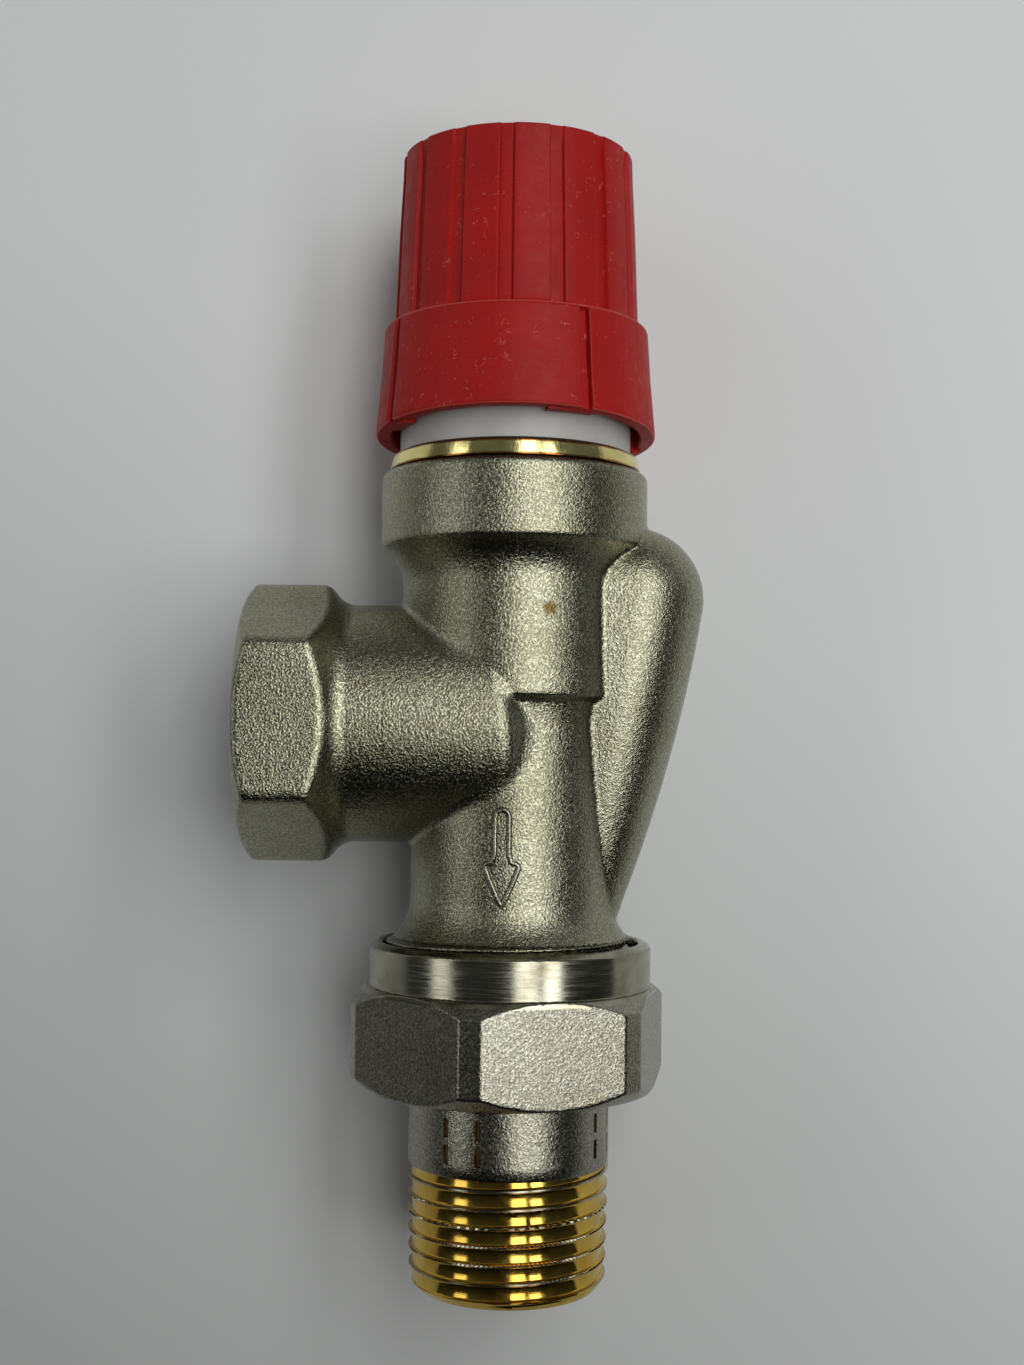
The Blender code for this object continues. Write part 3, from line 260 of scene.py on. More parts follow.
def inlet_hexagon_field(x, y, z, across):
    flats = np.abs(y) - INLET_FLATS / 2
    for side in (-1, 1):
        slanted = np.abs(y * 0.5 + side * z * math.sqrt(0.75)) - INLET_FLATS / 2
        flats = shared(flats, slanted, 0.25)
    tops = np.abs(z) - 14.4
    for side in (-1, 1):
        corner = np.abs(z * 0.5 + side * y * math.sqrt(0.75)) - 15.35
        tops = np.maximum(tops, corner)
    flats = shared(flats, tops, 0.3)
    outer = ((across - 13.1) * 0.55 - (x - INLET_X)) * 0.87
    outer = shared(outer, INLET_X - x, 0.3)
    inner = ((across - 13.1) * 0.75 + (x - INLET_HEX_X)) * 0.8
    return shared(shared(flats, outer, 0.35), inner, 0.5)


def casting_field(x, y, z):
    rho = np.hypot(x, y)
    across = np.hypot(y, z)
    bevel = ((rho - COLLAR_R) * 0.75 + 18.5 - z) * 0.8
    collar = shared(shared(rho - COLLAR_R, z - 26.3, 0.9), bevel, 0.3)
    steep = ((rho - BARREL_R) * 3.0 + 1.0 - z) * 0.32
    step = np.minimum(steep, ((rho - NECK_R) * 0.8 + 2.85 - z) * 0.78)
    neck = shared(shared(rho - NECK_R, step, 0.2), z - 20.0, 0.5)
    flare = BARREL_R + 1.96 * (np.clip(-18.0 - z, 0, 4.4) / 4.3) ** 2
    barrel = shared((rho - flare) * 0.9, np.abs(z + 8.65) - 13.65, 0.35)
    union = thread(rho, z / PITCH - np.arctan2(y, x) / TURN, 11.9, 1.1)
    union = shared(np.maximum(union, rho - 12.98), np.abs(z + 26.45) - 4.45, 0.3)
    slope = np.minimum(1.1 * (BRANCH_R - np.abs(y)), 2.6) - 0.06 * (z + 0.8) ** 2
    branch = shared(across - BRANCH_R, (x + 0.6 - slope) * 0.65, 0.5)
    branch = np.maximum(branch, -20.0 - x)
    bulge = bar(x, y, z, (12.4, 13.3), (7.3, -17.8), 7.6, 4.4, 4.0)
    solid = joined(neck, collar, 1.9)
    solid = joined(solid, barrel, 0.4)
    solid = joined(solid, branch, 0.5)
    solid = joined(solid, bulge, 0.3)
    solid = joined(solid, inlet_hexagon_field(x, y, z, across), 1.0)
    solid = np.minimum(solid, union)
    return shared(solid, -bore_field(x, y, z, rho, across), 0.25)


def nut_field(x, y, z):
    rho = np.hypot(x, y)
    flats = np.full(x.shape, -99.0)
    corners = np.full(x.shape, -99.0)
    for k in range(6):
        angle = math.radians(17 - 90 + 60 * k)
        flats = np.maximum(flats, x * math.cos(angle) + y * math.sin(angle) - NUT_FLATS / 2)
        angle += TURN / 12
        corners = np.maximum(corners, x * math.cos(angle) + y * math.sin(angle) - 16.66)
    prism = shared(flats, corners, 0.08)
    top = ((rho - NUT_FLATS / 2) * 0.84 + z - NUT_HEX_TOP) * 0.766
    foot = ((rho - NUT_FLATS / 2) * 0.83 - z - 37.45) * 0.77
    prism = shared(prism, shared(top, z - NUT_HEX_TOP, 0.1), 0.1)
    prism = shared(prism, shared(foot, NUT_FOOT - z, 0.2), 0.2)
    rim = ((rho - NUT_COLLAR_R) * 0.7 + z + 23.0) * 0.82
    ends = shared(z + 22.5, -27.4 - z, 0.1)
    collar = shared(shared(rho - NUT_COLLAR_R, rim, 0.08), ends, 0.1)
    solid = joined(prism, collar, 0.1)
    hole = np.maximum(rho - 13.3, -33.9 - z)
    cut = np.maximum(thread(rho, z / PITCH - np.arctan2(y, x) / TURN, 13.3, 0.6), -32.6 - z)
    cut = np.maximum(cut, z + 24.6)
    lip = rho - 10.7
    mouth = (rho - 13.0 - (z + 23.3) * 0.5) * 0.85
    hollow = np.minimum(np.minimum(hole, cut), np.minimum(lip, np.maximum(mouth, -24.5 - z)))
    return shared(solid, -hollow, 0.2)


CORNERS = np.array([(a, b, c) for a in (0, 1) for b in (0, 1) for c in (0, 1)])
EDGES = [
    (a, b) for a in range(8) for b in range(a + 1, 8) if np.abs(CORNERS[a] - CORNERS[b]).sum() == 1
]


def sampled(field, axes):
    """The field on a grid, one slab of heights at a time."""
    values = np.empty([len(a) for a in axes], np.float32)
    slab = 24
    for start in range(0, len(axes[2]), slab):
        heights = axes[2][start : start + slab]
        x, y, z = np.meshgrid(axes[0], axes[1], heights, indexing="ij")
        values[:, :, start : start + slab] = field(x, y, z)
    return values


def surface(name, field, low, high, step, look):
    """Meshes the zero surface of a field with one vertex a cell, moved onto the surface."""
    axes = [np.arange(a - step, b + 2 * step, step, dtype=np.float32) for a, b in zip(low, high)]
    values = sampled(field, axes)
    inside = values < 0
    cells = tuple(n - 1 for n in values.shape)
    count = np.zeros(cells, np.int8)
    for a, b, c in CORNERS:
        count += inside[a : a + cells[0], b : b + cells[1], c : c + cells[2]]
    active = np.argwhere((count > 0) & (count < 8))
    index = np.full(cells, -1, np.int64)
    index[tuple(active.T)] = np.arange(len(active))
    at = [values[tuple((active + corner).T)] for corner in CORNERS]
    total = np.zeros((len(active), 3))
    hits = np.zeros(len(active))
    for a, b in EDGES:
        crossed = (at[a] < 0) != (at[b] < 0)
        share = np.where(crossed, at[a] / np.where(crossed, at[a] - at[b], 1), 0)[:, None]
        spot = CORNERS[a] + share * (CORNERS[b] - CORNERS[a])
        total += np.where(crossed[:, None], spot, 0)
        hits += crossed
    start = np.array([a[0] for a in axes], float)
    points = start + (active + total / hits[:, None]) * step
    for _ in range(3):
        distance, slope = gradient(field, points)
        move = slope * (distance / np.maximum((slope**2).sum(1), 0.2))[:, None]
        points -= np.clip(move, -0.5 * step, 0.5 * step)
    faces = crossing_faces(inside, index)
    slope = gradient(field, points)[1]
    normals = slope / np.maximum(np.linalg.norm(slope, axis=1), 1e-6)[:, None]
    turned_normals = np.stack([normals[:, 0], normals[:, 2], -normals[:, 1]], 1)
    return finish_mesh(name, to_row(points), faces, look, turned_normals)


def gradient(field, points):
    """The field and its slope at each point, from the values a small step away on each side."""
    x, y, z = points.T
    h = 0.04
    slope = [
        field(x + h, y, z) - field(x - h, y, z),
        field(x, y + h, z) - field(x, y - h, z),
        field(x, y, z + h) - field(x, y, z - h),
    ]
    return field(x, y, z), np.stack(slope, 1) / (2 * h)


def crossing_faces(inside, index):
    """A face for each grid edge that crosses the surface, round the four cells that share it."""
    faces = []
    for axis in range(3):
        b, c = (axis + 1) % 3, (axis + 2) % 3
        here = np.moveaxis(inside, (axis, b, c), (0, 1, 2))
        cell = np.moveaxis(index, (axis, b, c), (0, 1, 2))
        for flip in (False, True):
            first, second = here[:-1, 1:-1, 1:-1], here[1:, 1:-1, 1:-1]
            cross = (~first & second) if flip else (first & ~second)
            i, j, k = np.nonzero(cross)
            ring_of = [cell[i, j, k], cell[i, j + 1, k], cell[i, j + 1, k + 1], cell[i, j, k + 1]]
            if flip:
                ring_of.reverse()
            faces.append(np.stack(ring_of, 1))
    return np.concatenate(faces)


# ---------------------------------------------------------------- materials

class Look:
    """A Principled material and short ways to add nodes to it."""

    def __init__(self, name, colour, roughness, metallic=0.0, specular=0.5):
        self.material = bpy.data.materials.new(name)
        self.material.use_nodes = True
        self.tree = self.material.node_tree
        self.shader = self.tree.nodes["Principled BSDF"]
        self.shader.inputs["Base Color"].default_value = (*colour, 1.0)
        self.shader.inputs["Roughness"].default_value = roughness
        self.shader.inputs["Metallic"].default_value = metallic
        self.shader.inputs["Specular IOR Level"].default_value = specular
        self.coords = self.tree.nodes.new("ShaderNodeTexCoord").outputs["Object"]

    def node(self, kind, links=None, **values):
        made = self.tree.nodes.new("ShaderNode" + kind)
        for key, value in values.items():
            setattr(made, key, value)
        for socket, value in (links or {}).items():
            if isinstance(value, bpy.types.NodeSocket):
                self.tree.links.new(value, made.inputs[socket])
            else:
                made.inputs[socket].default_value = value
        return made

    def stretched(self, scale):
        return self.node("Mapping", {"Vector": self.coords, "Scale": scale}).outputs[0]

    def noise(self, scale, detail=2.0, roughness=0.5, coords=None):
        links = {"Vector": coords or self.coords, "Scale": scale}
        return self.node("TexNoise", {**links, "Detail": detail, "Roughness": roughness}).outputs[0]

    def spread(self, value, low, high, to_low=0.0, to_high=1.0):
        links = {0: value, 1: low, 2: high, 3: to_low, 4: to_high}
        return self.node("MapRange", links).outputs[0]

    def mixed(self, factor, first, second, blend="MIX"):
        made = self.node("Mix", data_type="RGBA", blend_type=blend)
        for socket, value in ((0, factor), (6, first), (7, second)):
            if isinstance(value, bpy.types.NodeSocket):
                self.tree.links.new(value, made.inputs[socket])
            elif socket == 0:
                made.inputs[0].default_value = value
            else:
                made.inputs[socket].default_value = (*value, 1.0)
        return made.outputs[2]

    def near(self, point, reach):
        """1 at a point of the row frame, falling to 0 at a distance."""
        apart = self.node("VectorMath", {0: self.coords, 1: point}, operation="DISTANCE")
        return self.spread(apart.outputs["Value"], 0.0, reach, 1.0, 0.0)

    def band(self, height, reach):
        """1 at a height of the upright frame, falling to 0 at a distance along the main axis."""
        along = self.node("SeparateXYZ", {0: self.coords}).outputs["Y"]
        off = self.node("Math", {0: along, 1: height * MM + float(ORIGIN[1])}, operation="SUBTRACT")
        off = self.node("Math", {0: off.outputs[0]}, operation="ABSOLUTE")
        return self.spread(off.outputs[0], 0.0, reach, 1.0, 0.0)

    def product(self, first, second):
        return self.node("Math", {0: first, 1: second}, operation="MULTIPLY").outputs[0]

    def use(self, socket, value):
        self.tree.links.new(value, self.shader.inputs[socket])

    def gloss(self, pattern, low, high):
        """The roughness, between two values by a noise pattern."""
        self.use("Roughness", self.spread(pattern, 0.3, 0.7, low, high))

    def bump(self, heights):
        """Bumps from (height, depth in millimetres) pairs, one laid on the other."""
        normal = None
        for height, depth in heights:
            links = {"Height": height, "Distance": depth * MM, "Strength": 1.0}
            if normal is not None:
                links["Normal"] = normal
            normal = self.node("Bump", links).outputs[0]
        self.use("Normal", normal)


def nickel_look(name, light, dark, roughness, grain=0.08):
    """Shot-blasted nickel plate: a sparkling grain, warm patches and a few brown marks."""
    look = Look(name, light, roughness, 1.0)
    patches = look.spread(look.noise(120.0, 4.0, 0.6), 0.35, 0.68)
    colour = look.mixed(patches, light, dark)
    pits = look.spread(look.noise(4600.0, 2.0, 0.6), 0.45, 0.60, 0.6, 0.0)
    colour = look.mixed(pits, colour, tuple(0.3 * c for c in dark))
    marks = look.spread(look.noise(260.0, 3.0, 0.6), 0.60, 0.74)
    marks = look.product(marks, look.spread(look.noise(70.0), 0.5, 0.62))
    colour = look.mixed(look.product(marks, 0.6), colour, (0.26, 0.18, 0.08))
    spot = look.product(look.near(place(3.6, -11.1, 11.4), 0.0012), look.noise(2200.0, 3.0, 0.7))
    colour = look.mixed(look.spread(spot, 0.10, 0.34, 0.0, 0.95), colour, (0.13, 0.075, 0.012))
    look.use("Base Color", colour)
    look.gloss(look.noise(2600.0, 2.0), roughness - 0.06, roughness + 0.08)
    look.bump([(look.noise(1600.0, 2.0), grain * 0.5), (look.noise(4600.0, 2.0, 0.6), grain)])
    return look.material


def polished_look():
    """The nut's machined collar, with fine marks round its axis."""
    look = Look("nickel_polished", (0.42, 0.41, 0.35), 0.16, 1.0)
    lines = look.noise(1.0, 4.0, 0.7, look.stretched((220.0, 5200.0, 220.0)))
    look.gloss(lines, 0.08, 0.30)
    smudge = look.spread(look.noise(300.0, 4.0, 0.6), 0.45, 0.7)
    look.use("Base Color", look.mixed(smudge, (0.36, 0.35, 0.27), (0.24, 0.22, 0.15)))
    look.bump([(lines, 0.010)])
    return look.material


def brass_look(name, light, dark, roughness, streaks=0.0, rims=()):
    """Turned brass, with chatter marks along the axis and a brown line at each height in rims,
    partly tarnish and partly painted shade.
    """
    look = Look(name, light, roughness, 1.0)
    tarnish = look.spread(look.noise(240.0, 4.0, 0.6), 0.4, 0.72)
    colour = look.mixed(tarnish, light, dark)
    for height in rims:
        # Each rim line is brown tarnish darkened as painted shade where the ring meets the parts
        # beside it.
        rim_tarnish_and_shade = look.product(look.band(height, 0.00035), look.noise(500.0, 3.0))
        colour = look.mixed(look.spread(rim_tarnish_and_shade, 0.12, 0.3), colour, (0.30, 0.12, 0.03))
    look.use("Base Color", colour)
    lines = look.noise(1.0, 2.0, 0.5, look.stretched((250.0, 12000.0, 250.0)))
    chatter = look.noise(1.0, 3.0, 0.6, look.stretched((1500.0, 90.0, 1500.0)))
    look.gloss(look.noise(900.0, 3.0), roughness - 0.04, roughness + 0.07)
    look.bump([(lines, 0.003), (chatter, streaks)])
    return look.material


def red_look():
    """Moulded red plastic with fine pale scratches and specks."""
    look = Look("red_plastic", (0.40, 0.010, 0.010), 0.5, 0.0, 0.2)
    cloud = look.spread(look.noise(150.0, 3.0), 0.35, 0.7)
    colour = look.mixed(cloud, (0.41, 0.009, 0.007), (0.35, 0.009, 0.008))
    sway = look.node("TexNoise", {"Vector": look.coords, "Scale": 900.0}).outputs["Color"]
    reach = (0.0016,) * 3
    swayed = look.node("VectorMath", {0: sway, 1: reach, 2: look.coords}, operation="MULTIPLY_ADD")
    cells = {"Vector": swayed.outputs[0], "Scale": 800.0, "Randomness": 1.0}
    edge = look.node("TexVoronoi", cells, feature="DISTANCE_TO_EDGE")
    hair = look.spread(edge.outputs["Distance"], 0.0, 0.045, 1.0, 0.0)
    hair = look.product(hair, look.spread(look.noise(1100.0, 2.0), 0.59, 0.65))
    hair = look.product(hair, look.spread(look.noise(130.0), 0.40, 0.60))
    speck = look.spread(look.noise(5200.0, 1.0), 0.76, 0.80)
    colour = look.mixed(look.product(hair, 0.42), colour, (0.75, 0.30, 0.26))
    colour = look.mixed(look.product(speck, 0.35), colour, (0.80, 0.45, 0.40))
    look.use("Base Color", colour)
    look.gloss(look.noise(700.0, 3.0), 0.44, 0.58)
    look.bump([(look.noise(2200.0, 2.0), 0.006), (hair, 0.02)])
    return look.material


def plastic_look(name, colour, roughness):
    look = Look(name, colour, roughness)
    cloud = look.spread(look.noise(260.0, 3.0), 0.4, 0.7)
    look.use("Base Color", look.mixed(cloud, colour, tuple(c * 0.9 for c in colour)))
    look.gloss(look.noise(800.0, 2.0), roughness - 0.06, roughness + 0.08)
    look.bump([(look.noise(1800.0, 2.0), 0.005)])
    return look.material


def steel_look():
    look = Look("steel", (0.60, 0.60, 0.60), 0.28, 1.0)
    lines = look.noise(1.0, 2.0, 0.5, look.stretched((400.0, 9000.0, 400.0)))
    look.gloss(lines, 0.20, 0.38)
    cloud = look.noise(500.0, 2.0)
    look.use("Base Color", look.mixed(cloud, (0.63, 0.63, 0.62), (0.52, 0.52, 0.52)))
    look.bump([(lines, 0.003)])
    return look.material


LOOKS = {
    "nickel_plate": nickel_look("nickel_plate", (0.46, 0.455, 0.335), (0.36, 0.35, 0.235), 0.20),
    "nickel_smooth": nickel_look(
        "nickel_smooth", (0.43, 0.42, 0.34), (0.34, 0.325, 0.25), 0.22, 0.05
    ),
    "nickel_polished": polished_look(),
    "brass": brass_look("brass", (0.80, 0.70, 0.36), (0.64, 0.53, 0.23), 0.13),
    # The brass ring's brown lines at its top and bottom edges are partly tarnish and partly painted
    # shade.
    "brass_ring": brass_look(
        "brass_ring", (0.88, 0.79, 0.34), (0.70, 0.60, 0.21), 0.13, 0.018, (28.0, 26.4)
    ),
    "brass_thread": brass_look("brass_thread", (0.74, 0.50, 0.09), (0.56, 0.33, 0.045), 0.10),
    "brass_tarnished": brass_look(
        "brass_tarnished", (0.15, 0.085, 0.035), (0.07, 0.035, 0.015), 0.5
    ),
    "steel": steel_look(),
    "rubber": plastic_look("rubber", (0.03, 0.03, 0.03), 0.7),
    # The white plastic is written grey, as painted shade for the collar under the cap.
    "white_plastic": plastic_look("white_plastic", (0.48, 0.48, 0.45), 0.42),
    "dark_plastic": plastic_look("dark_plastic", (0.08, 0.08, 0.09), 0.5),
    "red_plastic": red_look(),
    # A lighter red: wear on the cap's lip edge, and a painted highlight on the shoulder's top edge.
    "red_wear_and_highlight": plastic_look("red_wear_and_highlight", (0.54, 0.055, 0.04), 0.5),
}


def joins(piece, body, slot, *nodes):
    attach(piece, body)
    if nodes:
        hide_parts(*nodes)
    return piece


def second_look(piece, look, chosen):
    """Gives a second look to the faces whose middle, in the upright frame, is chosen."""
    piece.data.materials.append(look)
    mesh = piece.data
    middles = np.empty(len(mesh.polygons) * 3)
    mesh.polygons.foreach_get("center", middles)
    middles = (middles.reshape(-1, 3) - ORIGIN) / MM
    x, y, z = middles[:, 0], -middles[:, 2], middles[:, 1]
    mesh.polygons.foreach_set("material_index", chosen(x, y, z).astype(np.int32))
    mesh.update()


# ---------------------------------------------------------------- pieces

def make_casting():
    low, high, cell = (-27.8, -15.5, -31.0), (20.2, 15.5, 26.2), 0.36
    casting = surface("body_casting", casting_field, low, high, cell, LOOKS["nickel_plate"])
    joins(casting, "body", "nickel_plate", "valve_body")


def make_arrow():
    """The raised outline of the flow arrow on the front of the barrel."""
    half, head, top, neck, tip = 0.7, 1.6, -8.6, -14.1, -18.0
    line = [(-half, neck + 0.3), (-half, top - half)]
    for a in np.linspace(2.6, 0.5, 5):
        line.append((half * math.cos(a), top - half + half * math.sin(a)))
    line += [(half, top - half), (half, neck + 0.3), (head, neck + 0.1), (head + 0.05, neck - 0.35)]
    line += [(0.15, tip), (-0.15, tip), (-head - 0.05, neck - 0.35), (-head, neck + 0.1)]
    line = np.array(line)
    smooth = []
    for k, corner in enumerate(line):
        before, after = line[k - 1], line[(k + 1) % len(line)]
        smooth += [corner * 0.8 + before * 0.2, corner * 0.8 + after * 0.2]
    path = np.array(smooth)
    path[:, 0] -= 0.9
    rings = []
    for k, (x, z) in enumerate(path):
        way = path[(k + 1) % len(path)] - path[k - 1]
        way /= np.hypot(*way)
        out = np.array([x, -math.sqrt(BARREL_R**2 - x * x)]) / BARREL_R
        around = np.linspace(0, TURN, 8, endpoint=False)
        side, up = 0.30 * np.cos(around), 0.32 * np.sin(around) + 0.12
        flat = np.array([way[1], -way[0]])
        px = x + side * flat[0] + up * out[0]
        py = BARREL_R * out[1] + up * out[1] - side * flat[0] * out[0] / out[1]
        rings.append(np.stack([px, py, z + side * flat[1]], -1))
    arrow = skin("flow_arrow", rings, LOOKS["nickel_smooth"], sharp=60)
    joins(arrow, "body", "nickel_plate")


def make_insert():
    housing = [(8.7, 40.9), (9.0, 40.6), (9.0, 40.1), (8.0, 40.1), (8.0, 38.7), (9.0, 38.7)]
    housing += [(9.0, 28.0), (12.9, 28.0), (13.3, 26.4), (10.9, 26.4), (10.9, 20.1)]
    foot = span("insert_housing")[0]
    housing += [(9.3, 20.1), (9.3, 19.1), (7.7, 19.1), (7.7, 17.2), (9.3, 17.2), (9.3, foot)]
    housing += [(6.6, foot), (6.6, 40.9)]
    made = turned("insert_housing_turned", housing, LOOKS["brass_ring"])
    joins(made, "body", "brass", "insert_housing")
    collar = [(11.85, 38.7), (12.15, 38.4), (12.15, 35.4), (11.15, 35.4), (11.15, 33.0)]
    collar += [(12.15, 33.0), (12.15, 28.3), (9.3, 28.3), (9.3, 38.7)]
    made = turned("head_collar_moulded", collar, LOOKS["white_plastic"])
    joins(made, "body", "white_plastic", "head_collar")
    foot, top = span("retaining_ring")
    section = eased([(10.2, top), (10.2, foot), (8.3, foot), (8.3, top)], 0.15, True)
    angles = np.linspace(TURN / 2 + 0.27, TURN * 1.5 - 0.27, 90)
    clip = skin("retaining_clip", swept(section, angles), LOOKS["steel"], closed=False)
    joins(clip, "body", "steel", "retaining_ring")


def make_nut():
    low, high, cell = (-16.8, -16.8, -37.6), (16.8, 16.8, -22.4), 0.26
    nut = surface("union_nut_forged", nut_field, low, high, cell, LOOKS["nickel_smooth"])
    second_look(nut, LOOKS["nickel_polished"], lambda x, y, z: z > -27.5)
    joins(nut, "nut", "nickel_plate", "union_nut")


def make_tail():
    angles = angles_from_front(TAIL_COLUMNS)
    dashes = [math.radians(a) for a in (-36.6, -16.8, 57.8, 77.6, 143.4, 163.2, 237.8, 257.6)]
    breaks = [d + s for d in dashes for s in (-0.029, -0.026, 0.026, 0.029)]
    fine = np.sort(np.concatenate([angles, np.array(breaks) % TURN]))
    apart = np.abs((fine[:, None] - np.array(dashes) + TURN / 2) % TURN - TURN / 2).min(1)
    sunk = np.clip((0.029 - apart) / 0.003, 0, 1)
    top = [(TAIL_BORE_R, -27.4), (9.7, -27.4), (10.0, -27.7), (10.0, -28.3), (8.6, -28.3)]
    top += [(8.6, -30.0), (10.0, -30.0), (10.0, -31.2), (13.0, -31.2), (13.0, -33.6)]
    top += [(TAIL_R, -33.6)]
    rings = [ring(r, z, fine) for r, z in eased(top, 0.12, False)]
    for start in (-36.7, -39.3, -41.9):
        for z, share in ((start, 0), (start - 0.05, 1), (start - 1.85, 1), (start - 1.9, 0)):
            rings.append(ring(TAIL_R - 0.25 * share * sunk, z, fine))
    foot = [(TAIL_R, -45.0), (TAIL_R - 0.1, TAIL_THREAD_TOP), (9.6, TAIL_THREAD_TOP)]
    foot += [(9.6, -45.6), (TAIL_BORE_R, -45.6)]
    rings += [ring(r, z, fine) for r, z in foot]
    tail = skin("tail_plated", rings, LOOKS["nickel_smooth"])

    def dashed(x, y, z):
        return (z > -44.5) & (z < -36) & (np.hypot(x, y) < TAIL_R - 0.06)

    second_look(tail, LOOKS["brass_tarnished"], dashed)
    joins(tail, "tail", "nickel_plate", "tailpiece")
    joins(make_tail_thread(), "tail", "brass", "tailpiece")
    make_ring("tail_seal", "tail_o_ring", "tail", 9.45, 0.55)


def make_tail_thread():
    """The taper pipe thread: rows along the helix, with narrow crests over wide shallow roots."""
    profile = [(0.0, 1.0), (0.05, 1.0), (0.08, 0.75), (0.12, 0.2), (0.16, 0.07), (0.24, 0.01)]
    profile += [(0.5, 0.0)]
    profile += [(1 - p, h) for p, h in profile[-2:0:-1]]
    phases, levels = zip(*profile)
    columns = TAIL_COLUMNS
    share = np.arange(columns) / columns
    angles = share * TURN + TURN / 2
    top, foot, depth, taper = TAIL_THREAD_TOP, TAIL_END, 0.40, 50
    rings = [ring(TAIL_BORE_R, top, angles), ring(9.4, top, angles)]
    for turn in range(math.ceil((top - foot) / PITCH) + 3):
        for phase in phases:
            z = np.clip(top + PITCH * (1 + share - turn - phase), foot, top)
            across = ((top - z) / PITCH + share) % 1.0
            wave = np.interp(across, phases + (1.0,), levels + (1.0,))
            notch = 0.16 * notched(z, share, top, columns) * (wave > 0.7)
            radius = TAIL_R - (top - z) / taper - depth * (1 - wave) - notch
            radius = np.minimum(radius, 9.3 + (z - foot))
            rings.append(ring(radius, z, angles))
    rings += [ring(8.6, foot, angles), ring(TAIL_BORE_R, foot, angles)]
    rings = np.array(rings)
    rows = len(rings)
    index = np.arange(rows * columns).reshape(rows, columns)
    sheet = [index[:-1, :-1], index[:-1, 1:], index[1:, 1:], index[1:, :-1]]
    faces = [np.stack([c.ravel() for c in sheet], 1)]
    last, first, back = index[:, -1], index[:, 0], len(profile)
    plain = [0, 1, rows - 3, rows - 2]
    # At the seam the helix has moved along by one pitch, while the plain ends meet themselves.
    faces.append(np.array([(last[i], first[i], first[i + 1], last[i + 1]) for i in plain]))
    helix = range(2 + back, rows - 3)
    seam = [(last[i], first[i - back], first[i + 1 - back], last[i + 1]) for i in helix]
    faces.append(np.array(seam))
    bore = [index[-1], np.roll(index[-1], -1), np.roll(index[0], -1), index[0]]
    faces = np.concatenate([*faces, np.stack(bore, 1)])
    points = to_row(rings.reshape(-1, 3))
    made = finish_mesh("tail_thread_cut", points, faces, LOOKS["brass_thread"], sharp=26)

    def crests(x, y, z):
        least = TAIL_R - 0.12 - (top - z) / taper
        return (z < top) & (z > foot + 1.2) & (np.hypot(x, y) > least)

    second_look(made, LOOKS["nickel_polished"], crests)
    return made


def notched(z, share, top, columns):
    """1 where a crest of the middle turns has a notch, more closely set on the lower ones."""
    column = np.round(share * columns).astype(int)
    turn = (top - z) / PITCH
    wide = (turn > 1.6) & (turn < 2.6) & (column % 4 == 0)
    close = (turn >= 2.6) & (turn < 5.4) & (column % 2 == 0)
    return (wide | close).astype(float)


def make_ring(name, node, body, radius, wire):
    height = sum(span(node)) / 2
    around = np.linspace(TURN, 0, 17)[:-1]
    section = [(radius + wire * math.cos(a), height + wire * math.sin(a)) for a in around]
    angles = angles_from_front(96)
    made = skin(name, [ring(r, z, angles) for r, z in section], LOOKS["rubber"], sharp=80)
    joins(made, body, "rubber", node)


def make_setting():
    foot = span("insert_core")[0]
    core = [(4.1, 43.3), (6.1, 43.3), (6.1, 41.05), (6.3, 40.9), (6.3, 22.2), (5.0, 22.2)]
    core += [(5.0, 20.8), (6.3, 20.8), (6.3, foot + 1.4), (8.0, foot + 1.4), (8.0, foot)]
    core += [(1.8, foot), (1.8, foot + 2.9), (4.1, foot + 2.9)]
    key = hexagon_above(41.0, 10.4)
    made = turned("core_turned", core, LOOKS["brass"], columns=120, limit=key)
    joins(made, "setting", "brass", "insert_core")

    def notches(radius, height, angles):
        if radius < 6.5:
            return hexagon(angles, 11.0)
        off = np.abs((angles + TURN / 16) % (TURN / 8) - TURN / 16) * radius
        cut = np.where(off < 0.62, 0.8, 0.0) * (height > 42.55)
        return np.minimum(radius, 8.5 - cut)

    dial = [(8.3, 43.3), (8.5, 43.1), (8.5, 42.6), (8.5, 42.5), (8.5, 41.2), (6.0, 41.2)]
    dial += [(6.0, 43.3)]
    made = turned("dial_moulded", dial, LOOKS["white_plastic"], 0.08, columns=240, limit=notches)
    joins(made, "setting", "white_plastic", "setting_dial")

    gland = [(1.55, 45.3), (4.5, 45.3), (5.0, 45.0), (5.3, 43.6), (3.8, 43.55), (3.8, 38.1)]
    gland += [(1.55, 38.1)]
    head = hexagon_above(43.5, 9.0)
    made = turned("gland_turned", gland, LOOKS["brass"], 0.08, columns=120, limit=head)
    joins(made, "setting", "brass", "gland_nut")


def make_pin():
    pin = [(0.0, 48.1), (0.85, 48.1), (1.25, 47.7), (1.25, 37.8), (2.4, 37.8), (2.4, 36.6)]
    pin += [(0.0, 36.6)]
    made = turned("pin_turned", pin, LOOKS["steel"], columns=48, closed=False)
    joins(made, "pin", "steel", "pressure_pin")


